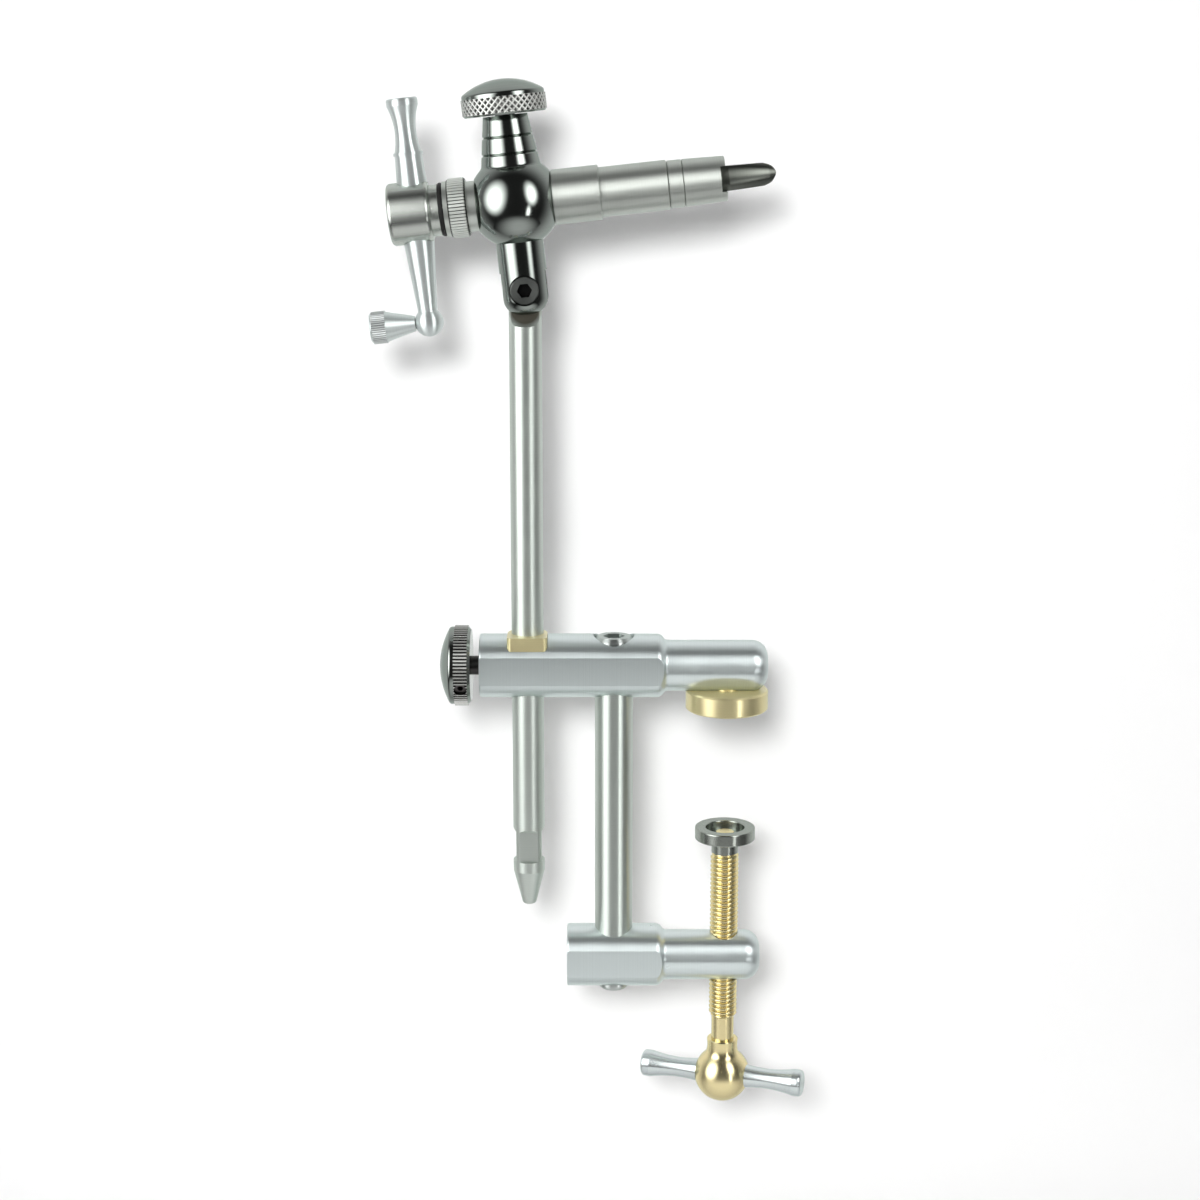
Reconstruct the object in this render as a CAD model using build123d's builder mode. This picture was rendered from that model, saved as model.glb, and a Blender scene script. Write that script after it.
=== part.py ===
# Rotary fly tying vise with a bench clamp.
# Origin: centre of the fixed pad's lower face, which bears on the table top.
# X runs from the posts towards the jaws, Z is up, the near side is -Y. Sizes in millimetres.
import os
from math import cos, radians, sin

from build123d import *

os.makedirs("parts", exist_ok=True)

# Clearances
running_gap = 0.05
end_gap = 0.1
pocket_gap = 0.1
screw_gap = 0.2
slide_gap = 0.1

# Clamp arms
arm_diameter = 20.0
nose_step = 2.0
arm_spacing = 96.6
throat_depth = 35.6
post_spacing = 27.1
arm_tail = 15.0
shoulder_offset = 16.2
shoulder_run = 1.6
upper_nose_reach = 12.7
lower_nose_reach = 11.5
nose_round = 5.0
shoulder_round = 2.4
shoulder_fillet = 1.4
tail_round = 0.6
flat_depth = 1.07
flat_overrun = 1.0

# Fixed pad
pad_diameter = 26.0
pad_thickness = 6.4
pad_seat_depth = 0.4
pad_edge = 0.5
pad_spigot_diameter = 8.0
pad_spigot_length = 8.0

# Clamp post and its screws
clamp_post_diameter = 12.0
post_seat_past_axis = 1.0
post_end_chamfer = 0.6
cap_head_diameter = 12.4
cap_head_height = 5.0
cap_head_chamfer = 1.0
cap_head_sink = 0.5
cap_hex = 6.0
cap_hex_depth = 3.2
cap_shank_diameter = 8.0
cap_shank_length = 16.0
counterbore_diameter = 13.0
button_head_diameter = 10.0
button_head_height = 3.0
button_head_round = 1.8
button_head_proud = 1.2
button_hex = 4.0
button_hex_depth = 1.6
button_shank_diameter = 6.0
button_shank_length = 18.0
button_bore_gap = 0.2

# Main post
post_diameter = 10.0
pivot_height = 131.5
tongue_thickness = 5.0
tongue_drop = 8.3
tongue_runout = 2.7
tip_drop = 64.8
tip_diameter = 4.2
tip_round = 0.8
cone_length = 11.3
foot_length = 3.5
neck_length = 10.0
neck_flats = 8.0

# Post bush
bush_length = 12.5
bush_side_wall = 2.25
bush_pocket_depth = 5.8
bush_proud = 0.5
bush_corner = 1.3

# Post lock
lock_stud_diameter = 6.0
lock_plug_length = 3.5
lock_knob_diameter = 25.3
lock_knob_standoff = 2.7
lock_knob_rim = 6.6
lock_knob_land = 1.5
lock_knob_round = 1.0
lock_knob_dome = 3.3
lock_knob_edge = 0.9
lock_knob_wall = 2.6
lock_knurl_teeth = 72
lock_knurl_depth = 0.45
grub_diameter = 4.0
grub_sink = 1.2
grub_hex = 1.8
grub_hex_depth = 1.6
grub_angle = 25.0

# Head body, in the head's own directions: u along the spindle, v up the neck
head_angle = 6.2
neck_axis_height = 26.3
ball_radius = 13.9
ball_flat = 11.4
stem_diameter = 14.4
stem_below_pivot = 7.5
stem_round = 5.0
neck_foot_height = 10.6
neck_foot_fillet = 1.5
neck_top_radius = 6.7
neck_top_height = 25.5
ring_groove_heights = (14.3, 19.4)
ring_groove_depth = 0.45
slot_clearance = 0.4

# Head pivot screw
pivot_head_diameter = 8.8
pivot_head_height = 2.4
pivot_head_sink = 0.9
pivot_head_chamfer = 0.4
pivot_bore_gap = 0.2
pivot_hex = 4.0
pivot_hex_depth = 1.5
pivot_shank_diameter = 5.0
pivot_end_inset = 0.7

# Spindle bearings and brake
journal_diameter = 10.4
bearing_diameter = 13.6
bearing_inset = 0.1
bearing_gap_half = 3.4
brake_stud_diameter = 6.0
brake_plug_length = 5.0
brake_knob_diameter = 25.4
brake_knob_lift = 0.2
brake_knob_band = 6.5
brake_knob_dome = 4.0
brake_knob_edge = 0.6
brake_knob_land = 1.2
brake_knob_land_step = 0.3
brake_knob_round = 1.0
brake_knob_wall = 3.2

# Spindle
spindle_start = 11.5
sleeve_radius = 8.2
sleeve_length = 14.3
barrel_radius = 7.4
barrel_length = 20.5
band_radius = 7.1
band_length = 4.5
nose_front_radius = 6.7
nose_length = 12.8
spindle_groove_depth = 0.6
spindle_groove_width = 0.9
spindle_edge = 0.4
mouth_slot_depth = 1.6
channel_height = 7.6
channel_width = 8.8
channel_length = 20.5
drawbar_diameter = 6.0
tail_lip_radius = 6.2
tail_lip_length = 1.0

# Adjusting collar, O-ring and hub
collar_neck_radius = 7.5
collar_neck_length = 2.7
collar_knurl_radius = 8.9
collar_knurl_length = 5.7
collar_flange_radius = 8.2
collar_flange_length = 1.3
collar_knurl_teeth = 54
collar_knurl_depth = 0.35
collar_knurl_edge = 0.6
ring_radius = 8.0
ring_width = 1.4
ring_flat = 0.2
spigot_radius = 7.7
spigot_length = 2.6
spigot_wall = 1.2
hub_radius = 9.3
hub_length = 12.7
hub_round = 1.3
hub_end_wall = 1.6
lip_room = 0.4

# Hub lever and crank
cross_bar_from_hub_front = 4.8
bar_stud_diameter = 5.0
bar_seat_height = 8.0
stud_to_drawbar = 0.5
lever_base_radius = 4.6
lever_ring_height = 17.0
lever_ring_radius = 4.5
lever_ring_width = 0.9
lever_neck_radius = 4.1
lever_waist_radius = 3.2
lever_waist_height = 23.6
lever_cap_radius = 4.7
lever_cap_height = 2.2
lever_cap_round = 0.8
lever_top = 33.8
crank_base_radius = 4.7
crank_tip_radius = 3.0
crank_reach = 33.0
crank_ball_radius = 4.4
crank_ball_flat = 3.9
crank_pin_diameter = 3.2
crank_pin_length = 17.0
crank_pin_seat = 6.0
crank_knob_gap = 0.3
crank_cone_small_radius = 2.3
crank_cone_large_radius = 4.6
crank_cone_length = 8.9
crank_knurl_radius = 4.95
crank_knurl_length = 4.8
crank_knob_edge = 0.6
crank_knurl_teeth = 44
crank_knurl_depth = 0.2

# Drawbar head, pins and jaws
drawbar_tail_inset = 3.5
drawbar_head_setback = 18.1
drawbar_head_length = 8.1
fork_gap = 3.4
fork_length = 6.1
jaw_pin_diameter = 1.5
jaw_pin_offset = 2.0
jaw_pin_setback = 3.1
jaw_split = 0.1
jaw_tail_gap = 0.4
jaw_tail_length = 1.6
jaw_root = 3.7
jaw_root_width = 3.0
jaw_mouth_width = 4.1
jaw_mouth_past_face = 0.9
jaw_reach = 15.1
jaw_belly = 0.3
jaw_bevel_length = 2.0
jaw_bevel_width = 1.45
jaw_tip_width = 0.5
jaw_round_offset = 2.0
jaw_half_height = 3.7
jaw_tip_start = 5.2
jaw_tip_half_height = 3.45
jaw_tip_shoulder = 0.72

# Clamp screw, swivel pad and handles
swivel_diameter = 19.2
swivel_rim = 3.9
swivel_drop = 39.2
swivel_recess_diameter = 12.3
swivel_recess_depth = 2.9
swivel_collar_diameter = 8.5
swivel_collar_length = 4.5
swivel_edge = 0.4
rivet_diameter = 6.0
rivet_height = 1.2
rivet_shank_diameter = 4.0
thread_diameter = 9.0
thread_length = 55.8
thread_runout = 0.9
screw_neck_diameter = 7.3
screw_neck_length = 8.0
bulb_shoulder_diameter = 10.0
bulb_radius = 9.0
bulb_drop = 12.5
bulb_flare_radius = 6.0
handle_turn = -18.0
handle_reach = 27.0
handle_seat = 7.6
handle_root_radius = 3.8
handle_waist_radius = 3.2
handle_waist_at = 15.0
handle_end_radius = 4.3
handle_end_length = 3.0
handle_end_round = 1.2
handle_stud_diameter = 5.0
handle_stud_length = 4.0

# Places worked out from the sizes above
nose_diameter = arm_diameter - 2 * nose_step
upper_axis_z = pad_thickness + nose_diameter / 2 - pad_seat_depth
lower_axis_z = upper_axis_z - arm_spacing
clamp_post_x = -throat_depth
main_post_x = clamp_post_x - post_spacing
shoulder_x = clamp_post_x + shoulder_offset
upper_tail_x = main_post_x - arm_tail
lower_tail_x = clamp_post_x - arm_tail
flat_y = arm_diameter / 2 - flat_depth
cap_seat_z = upper_axis_z + arm_diameter / 2 - cap_head_sink - cap_head_height
bush_front = arm_diameter / 2 - bush_side_wall
bush_floor = arm_diameter / 2 - bush_pocket_depth
button_seat_z = lower_axis_z - arm_diameter / 2 - button_head_proud + button_head_height
upper_socket_z = upper_axis_z + post_seat_past_axis
lower_socket_z = lower_axis_z - post_seat_past_axis
lock_plug_x = main_post_x - post_diameter / 2 - running_gap
lock_stud_x = lock_plug_x - lock_plug_length - running_gap
lock_knob_x = upper_tail_x - lock_knob_standoff

tilt = radians(head_angle)
u_dir = Vector(cos(tilt), 0, sin(tilt))
v_dir = Vector(-sin(tilt), 0, cos(tilt))
pivot = Vector(main_post_x, 0, pivot_height)
ball_centre = pivot + v_dir * neck_axis_height

collar_u = -ball_flat - end_gap
ring_u = collar_u - collar_neck_length - collar_knurl_length - collar_flange_length - running_gap
spigot_u = ring_u - ring_width - running_gap
hub_u = spigot_u - spigot_length
hub_end_u = hub_u - hub_length
lip_front_u = spigot_u - spigot_wall - lip_room / 2
lip_back_u = lip_front_u - tail_lip_length
cross_u = hub_u - cross_bar_from_hub_front
sleeve_u = spindle_start + sleeve_length
barrel_u = sleeve_u + barrel_length
band_u = barrel_u + band_length
face_u = band_u + nose_length
drawbar_head_u = face_u - drawbar_head_setback
drawbar_front_u = drawbar_head_u + drawbar_head_length
jaw_pin_u = drawbar_front_u - jaw_pin_setback

swivel_top_z = -swivel_drop
swivel_floor_z = swivel_top_z - swivel_recess_depth
swivel_base_z = swivel_top_z - swivel_rim - swivel_collar_length
screw_top_z = swivel_base_z - running_gap
thread_end_z = screw_top_z - thread_length
bulb_top_z = thread_end_z - screw_neck_length
bulb_z = bulb_top_z - bulb_drop

# Working planes and axes
upper_side = Plane(origin=(0, 0, upper_axis_z), x_dir=(1, 0, 0), z_dir=(0, -1, 0))
lower_side = Plane(origin=(0, 0, lower_axis_z), x_dir=(1, 0, 0), z_dir=(0, -1, 0))
lock_end = Plane(origin=(0, 0, upper_axis_z), x_dir=(0, 1, 0), z_dir=(1, 0, 0))
main_post_plane = Plane(origin=(main_post_x, 0, upper_axis_z))
clamp_post_plane = Plane(origin=(clamp_post_x, 0, 0))
post_side = Plane(origin=(main_post_x, 0, 0), x_dir=(1, 0, 0), z_dir=(0, -1, 0))
clamp_post_side = Plane(origin=(clamp_post_x, 0, 0), x_dir=(1, 0, 0), z_dir=(0, -1, 0))
head_side = Plane(origin=ball_centre, x_dir=u_dir, z_dir=(0, -1, 0))
head_top = Plane(origin=ball_centre, x_dir=u_dir, z_dir=v_dir)
head_front = Plane(origin=ball_centre, x_dir=(0, 1, 0), z_dir=u_dir)
head_cross = Plane(origin=ball_centre + u_dir * cross_u, x_dir=u_dir, z_dir=(0, -1, 0))
upper_axis = Axis((0, 0, upper_axis_z), (1, 0, 0))
lower_axis = Axis((0, 0, lower_axis_z), (1, 0, 0))
post_axis = Axis((main_post_x, 0, 0), (0, 0, 1))
clamp_post_axis = Axis((clamp_post_x, 0, 0), (0, 0, 1))
spindle_axis = Axis(ball_centre, u_dir)
neck_axis = Axis(ball_centre, v_dir)
cross_axis = Axis(ball_centre + u_dir * cross_u, v_dir)
crank_knob_axis = Axis(ball_centre - v_dir * crank_reach, u_dir)


def turned(plane, axis, outline, rounds=(), mode=Mode.ADD):
    """Turn a closed half outline about an axis; rounds pairs an outline point with a radius."""
    with BuildSketch(plane) as half:
        with BuildLine():
            Polyline(*outline, close=True)
        make_face()
        for index, radius in rounds:
            corner = half.vertices().sort_by_distance(Vector(*outline[index]))[0]
            fillet(corner, radius=radius)
    revolve(half.sketch, axis=axis, mode=mode)


def toothed(plane, tip_radius, depth, teeth, width):
    """Straight knurl: a ring of pointed teeth, extruded across the knurled band."""
    step = 360 / teeth
    root_radius = tip_radius - depth
    points = []
    for tooth in range(teeth):
        tip = radians(tooth * step)
        root = radians((tooth + 0.5) * step)
        points.append((tip_radius * cos(tip), tip_radius * sin(tip)))
        points.append((root_radius * cos(root), root_radius * sin(root)))
    with BuildSketch(plane) as ring:
        with BuildLine():
            Polyline(*points, close=True)
        make_face()
    extrude(ring.sketch, amount=width)


def bored(plane, radius, start, end):
    """Cut a round hole along a plane's normal between two distances from the plane."""
    with BuildSketch(plane.offset(start)) as ring:
        Circle(radius)
    extrude(ring.sketch, amount=end - start, mode=Mode.SUBTRACT)


def hex_socket(plane, across_flats, depth):
    """Cut a hexagon socket that opens at the plane and goes down against its normal."""
    with BuildSketch(plane) as socket:
        RegularPolygon(across_flats / 2, 6, major_radius=False)
    extrude(socket.sketch, amount=-depth, mode=Mode.SUBTRACT)


def bush_plan(gap):
    """Plan of the post bush, grown by a gap: straight front, round back about the post."""
    front = bush_front + gap
    with BuildSketch(main_post_plane.offset(bush_floor)) as plan:
        Circle(bush_length / 2 + gap)
        with Locations((0, -front / 2)):
            Rectangle(bush_length + 2 * gap, front)
        fillet(plan.vertices().group_by(Axis.Y)[0], radius=bush_corner)
    return plan.sketch


# Clamp frame
# Upper arm: bar turned down at the nose, with a long flat milled on the near side.
with BuildPart() as upper_arm:
    turned(
        upper_side,
        upper_axis,
        [
            (upper_tail_x, 0),
            (upper_tail_x, arm_diameter / 2),
            (shoulder_x - shoulder_run, arm_diameter / 2),
            (shoulder_x, nose_diameter / 2),
            (upper_nose_reach, nose_diameter / 2),
            (upper_nose_reach, 0),
        ],
        rounds=[(1, tail_round), (2, shoulder_round), (3, shoulder_fillet), (4, nose_round)],
    )
    with BuildSketch(Plane.XZ.offset(flat_y)):
        with Locations(((upper_tail_x + shoulder_x) / 2, upper_axis_z)):
            Rectangle(shoulder_x - upper_tail_x + 2 * flat_overrun, arm_diameter)
    extrude(amount=arm_diameter, mode=Mode.SUBTRACT)
    # Flat seat for the fixed pad, with a hole for its spigot
    with BuildSketch(Plane.XY.offset(pad_thickness)):
        Circle(pad_diameter / 2 + pocket_gap)
    extrude(amount=-pad_thickness, mode=Mode.SUBTRACT)
    bored(Plane.XY, pad_spigot_diameter / 2, pad_thickness, pad_thickness + pad_spigot_length)
    # Through hole for the main post and the pocket of its bush
    bored(main_post_plane, post_diameter / 2 + running_gap, -arm_diameter, arm_diameter)
    extrude(bush_plan(pocket_gap), amount=arm_diameter, mode=Mode.SUBTRACT)
    # Lock stud bore from the tail to the post
    bored(lock_end, lock_stud_diameter / 2 + running_gap, upper_tail_x, main_post_x)
    # Socket of the clamp post, screw hole and counterbore above it
    bored(clamp_post_plane, clamp_post_diameter / 2, upper_axis_z - arm_diameter, upper_socket_z)
    bored(clamp_post_plane, cap_shank_diameter / 2 + screw_gap, upper_socket_z, cap_seat_z)
    bored(clamp_post_plane, counterbore_diameter / 2, cap_seat_z, upper_axis_z + arm_diameter)
upper_arm.part.label = "upper_arm"
export_step(upper_arm.part, "parts/upper_arm.step")

# Lower arm: the same bar, cut short behind the clamp post and bored for the clamp screw.
with BuildPart() as lower_arm:
    turned(
        lower_side,
        lower_axis,
        [
            (lower_tail_x, 0),
            (lower_tail_x, arm_diameter / 2),
            (shoulder_x - shoulder_run, arm_diameter / 2),
            (shoulder_x, nose_diameter / 2),
            (lower_nose_reach, nose_diameter / 2),
            (lower_nose_reach, 0),
        ],
        rounds=[(1, tail_round), (2, shoulder_round), (3, shoulder_fillet), (4, nose_round)],
    )
    with BuildSketch(Plane.XZ.offset(flat_y)):
        with Locations(((lower_tail_x + shoulder_x) / 2, lower_axis_z)):
            Rectangle(shoulder_x - lower_tail_x + 2 * flat_overrun, arm_diameter)
    extrude(amount=arm_diameter, mode=Mode.SUBTRACT)
    bored(clamp_post_plane, clamp_post_diameter / 2, lower_socket_z, lower_axis_z + arm_diameter)
    bored(clamp_post_plane, button_shank_diameter / 2 + screw_gap, button_seat_z, lower_socket_z)
    bored(
        clamp_post_plane,
        button_head_diameter / 2 + button_bore_gap,
        lower_axis_z - arm_diameter,
        button_seat_z,
    )
    bored(
        Plane.XY.offset(lower_axis_z),
        thread_diameter / 2 + running_gap,
        -nose_diameter,
        nose_diameter,
    )
lower_arm.part.label = "lower_arm"
export_step(lower_arm.part, "parts/lower_arm.step")

# Clamp post: plain rod let into both arms, tapped at each end.
with BuildPart() as clamp_post:
    turned(
        clamp_post_side,
        clamp_post_axis,
        [
            (0, lower_socket_z),
            (clamp_post_diameter / 2 - post_end_chamfer, lower_socket_z),
            (clamp_post_diameter / 2, lower_socket_z + post_end_chamfer),
            (clamp_post_diameter / 2, upper_socket_z - post_end_chamfer),
            (clamp_post_diameter / 2 - post_end_chamfer, upper_socket_z),
            (0, upper_socket_z),
        ],
    )
    bored(clamp_post_plane, cap_shank_diameter / 2, cap_seat_z - cap_shank_length, upper_socket_z)
    bored(clamp_post_plane, button_shank_diameter / 2, lower_socket_z, button_seat_z + button_shank_length)
clamp_post.part.label = "clamp_post"
export_step(clamp_post.part, "parts/clamp_post.step")

# Cap screw sunk in the top of the upper arm.
with BuildPart() as upper_arm_screw:
    cap_top_z = cap_seat_z + cap_head_height
    turned(
        clamp_post_side,
        clamp_post_axis,
        [
            (0, cap_seat_z - cap_shank_length),
            (cap_shank_diameter / 2, cap_seat_z - cap_shank_length),
            (cap_shank_diameter / 2, cap_seat_z),
            (cap_head_diameter / 2, cap_seat_z),
            (cap_head_diameter / 2, cap_top_z - cap_head_chamfer),
            (cap_head_diameter / 2 - cap_head_chamfer, cap_top_z),
            (0, cap_top_z),
        ],
    )
    hex_socket(clamp_post_plane.offset(cap_top_z), cap_hex, cap_hex_depth)
upper_arm_screw.part.label = "upper_arm_screw"
export_step(upper_arm_screw.part, "parts/upper_arm_screw.step")

# Button head screw under the lower arm.
with BuildPart() as lower_arm_screw:
    button_face_z = button_seat_z - button_head_height
    turned(
        clamp_post_side,
        clamp_post_axis,
        [
            (0, button_face_z),
            (button_head_diameter / 2, button_face_z),
            (button_head_diameter / 2, button_seat_z),
            (button_shank_diameter / 2, button_seat_z),
            (button_shank_diameter / 2, button_seat_z + button_shank_length),
            (0, button_seat_z + button_shank_length),
        ],
        rounds=[(1, button_head_round)],
    )
    hex_socket(
        Plane(origin=(clamp_post_x, 0, button_face_z), x_dir=(1, 0, 0), z_dir=(0, 0, -1)),
        button_hex,
        button_hex_depth,
    )
lower_arm_screw.part.label = "lower_arm_screw"
export_step(lower_arm_screw.part, "parts/lower_arm_screw.step")

# Fixed pad: brass disc with a spigot pressed into the nose of the upper arm.
with BuildPart() as fixed_pad:
    turned(
        Plane.XZ,
        Axis.Z,
        [
            (0, 0),
            (pad_diameter / 2 - pad_edge, 0),
            (pad_diameter / 2, pad_edge),
            (pad_diameter / 2, pad_thickness - pad_edge),
            (pad_diameter / 2 - pad_edge, pad_thickness),
            (pad_spigot_diameter / 2, pad_thickness),
            (pad_spigot_diameter / 2, pad_thickness + pad_spigot_length),
            (0, pad_thickness + pad_spigot_length),
        ],
    )
fixed_pad.part.label = "fixed_pad"
export_step(fixed_pad.part, "parts/fixed_pad.step")

# Post bush: brass block let into the arm, its flat top a little proud of the arm.
with BuildPart() as post_bush:
    extrude(bush_plan(0), amount=bush_pocket_depth + bush_proud)
    bored(main_post_plane, post_diameter / 2 + running_gap, 0, arm_diameter)
post_bush.part.label = "post_bush"
export_step(post_bush.part, "parts/post_bush.step")

# Main post and its lock
# Main post: rod with a tongue for the head, a square neck and a cone at the foot.
foot_z = -tip_drop + cone_length
neck_z = foot_z + foot_length
with BuildPart() as main_post:
    turned(
        post_side,
        post_axis,
        [
            (0, -tip_drop),
            (tip_diameter / 2, -tip_drop),
            (post_diameter / 2, foot_z),
            (post_diameter / 2, pivot_height + post_diameter / 2),
            (0, pivot_height + post_diameter / 2),
        ],
        rounds=[(1, tip_round)],
    )
    # Four flats make the neck, each with a sloping upper end
    for turn in range(4):
        flat_dir = Vector(cos(radians(90 * turn)), sin(radians(90 * turn)), 0)
        flat_side = Plane(
            origin=(main_post_x, 0, 0), x_dir=flat_dir, z_dir=flat_dir.cross(Vector(0, 0, 1))
        )
        with BuildSketch(flat_side):
            with BuildLine():
                Polyline(
                    (neck_flats / 2, neck_z),
                    (post_diameter, neck_z),
                    (post_diameter, neck_z + neck_length + post_diameter - neck_flats / 2),
                    (neck_flats / 2, neck_z + neck_length),
                    close=True,
                )
            make_face()
        extrude(amount=post_diameter, both=True, mode=Mode.SUBTRACT)
    # Tongue: the two cheeks are milled away and run out in an arc
    runout_y = tongue_thickness / 2 + tongue_runout
    with BuildSketch(Plane.YZ.offset(main_post_x)) as cheek:
        with BuildLine():
            Line(
                (tongue_thickness / 2, pivot_height + post_diameter),
                (tongue_thickness / 2, pivot_height - tongue_drop),
            )
            RadiusArc(
                (tongue_thickness / 2, pivot_height - tongue_drop),
                (runout_y, pivot_height - tongue_drop - tongue_runout),
                -tongue_runout,
            )
            Polyline(
                (runout_y, pivot_height - tongue_drop - tongue_runout),
                (post_diameter, pivot_height - tongue_drop - tongue_runout),
                (post_diameter, pivot_height + post_diameter),
                (tongue_thickness / 2, pivot_height + post_diameter),
            )
        make_face()
        mirror(about=Plane.YZ)
    extrude(amount=post_diameter, both=True, mode=Mode.SUBTRACT)
    # Rounded end about the pivot, and the pivot hole
    with BuildSketch(Plane.XZ):
        with Locations((main_post_x, pivot_height + post_diameter / 2)):
            Rectangle(2 * post_diameter, post_diameter)
        with Locations((main_post_x, pivot_height)):
            Circle(post_diameter / 2, mode=Mode.SUBTRACT)
    extrude(amount=post_diameter, both=True, mode=Mode.SUBTRACT)
    with BuildSketch(Plane.XZ):
        with Locations((main_post_x, pivot_height)):
            Circle(pivot_shank_diameter / 2 + running_gap)
    extrude(amount=post_diameter, both=True, mode=Mode.SUBTRACT)
main_post.part.label = "main_post"
export_step(main_post.part, "parts/main_post.step")

# Lock plug: brass slug between the stud and the post.
with BuildPart() as lock_plug:
    with BuildSketch(lock_end.offset(lock_plug_x - lock_plug_length)):
        Circle(lock_stud_diameter / 2)
    extrude(amount=lock_plug_length)
lock_plug.part.label = "lock_plug"
export_step(lock_plug.part, "parts/lock_plug.step")

# Lock stud: threaded rod between the plug and the knob.
lock_stud_end_x = lock_knob_x - lock_knob_rim - lock_knob_dome + lock_knob_wall
with BuildPart() as lock_screw:
    with BuildSketch(lock_end.offset(lock_stud_end_x)):
        Circle(lock_stud_diameter / 2)
    extrude(amount=lock_stud_x - lock_stud_end_x)
lock_screw.part.label = "lock_screw"
export_step(lock_screw.part, "parts/lock_screw.step")

# Lock knob: domed knob with a straight knurl and a grub screw hole in its rim.
lock_knurl_width = lock_knob_rim - lock_knob_land - lock_knob_edge
grub_dir = Vector(0, -cos(radians(grub_angle)), -sin(radians(grub_angle)))
grub_plane = Plane(
    origin=(lock_knob_x - lock_knob_edge - lock_knurl_width / 2, 0, upper_axis_z),
    x_dir=(1, 0, 0),
    z_dir=grub_dir,
)
rim_x = lock_knob_x - lock_knob_rim
with BuildPart() as lock_knob:
    with BuildSketch(upper_side) as half_knob:
        rim_radius = lock_knob_diameter / 2 - lock_knurl_depth
        with BuildLine():
            Polyline(
                (lock_knob_x, 0),
                (lock_knob_x, rim_radius - lock_knob_edge),
                (lock_knob_x - lock_knob_edge, rim_radius),
                (rim_x, rim_radius),
            )
            bulge = rim_radius**2 / (2 * lock_knob_dome) + lock_knob_dome / 2
            RadiusArc((rim_x, rim_radius), (rim_x - lock_knob_dome, 0), -bulge)
            Line((rim_x - lock_knob_dome, 0), (lock_knob_x, 0))
        make_face()
        rim_corner = half_knob.vertices().sort_by_distance(Vector(rim_x, rim_radius))[0]
        fillet(rim_corner, radius=lock_knob_round)
    revolve(axis=upper_axis)
    toothed(
        lock_end.offset(rim_x + lock_knob_land),
        lock_knob_diameter / 2,
        lock_knurl_depth,
        lock_knurl_teeth,
        lock_knurl_width,
    )
    bored(lock_end, lock_stud_diameter / 2, lock_stud_end_x, lock_knob_x)
    bored(grub_plane, grub_diameter / 2, 0, lock_knob_diameter)
lock_knob.part.label = "lock_knob"
export_step(lock_knob.part, "parts/lock_knob.step")

# Grub screw that fixes the knob to its stud.
grub_top = lock_knob_diameter / 2 - grub_sink
grub_foot = lock_stud_diameter / 2 + running_gap
with BuildPart() as lock_knob_grub:
    with BuildSketch(grub_plane.offset(grub_foot)):
        Circle(grub_diameter / 2)
    extrude(amount=grub_top - grub_foot)
    hex_socket(grub_plane.offset(grub_top), grub_hex, grub_hex_depth)
lock_knob_grub.part.label = "lock_knob_grub"
export_step(lock_knob_grub.part, "parts/lock_knob_grub.step")

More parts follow.
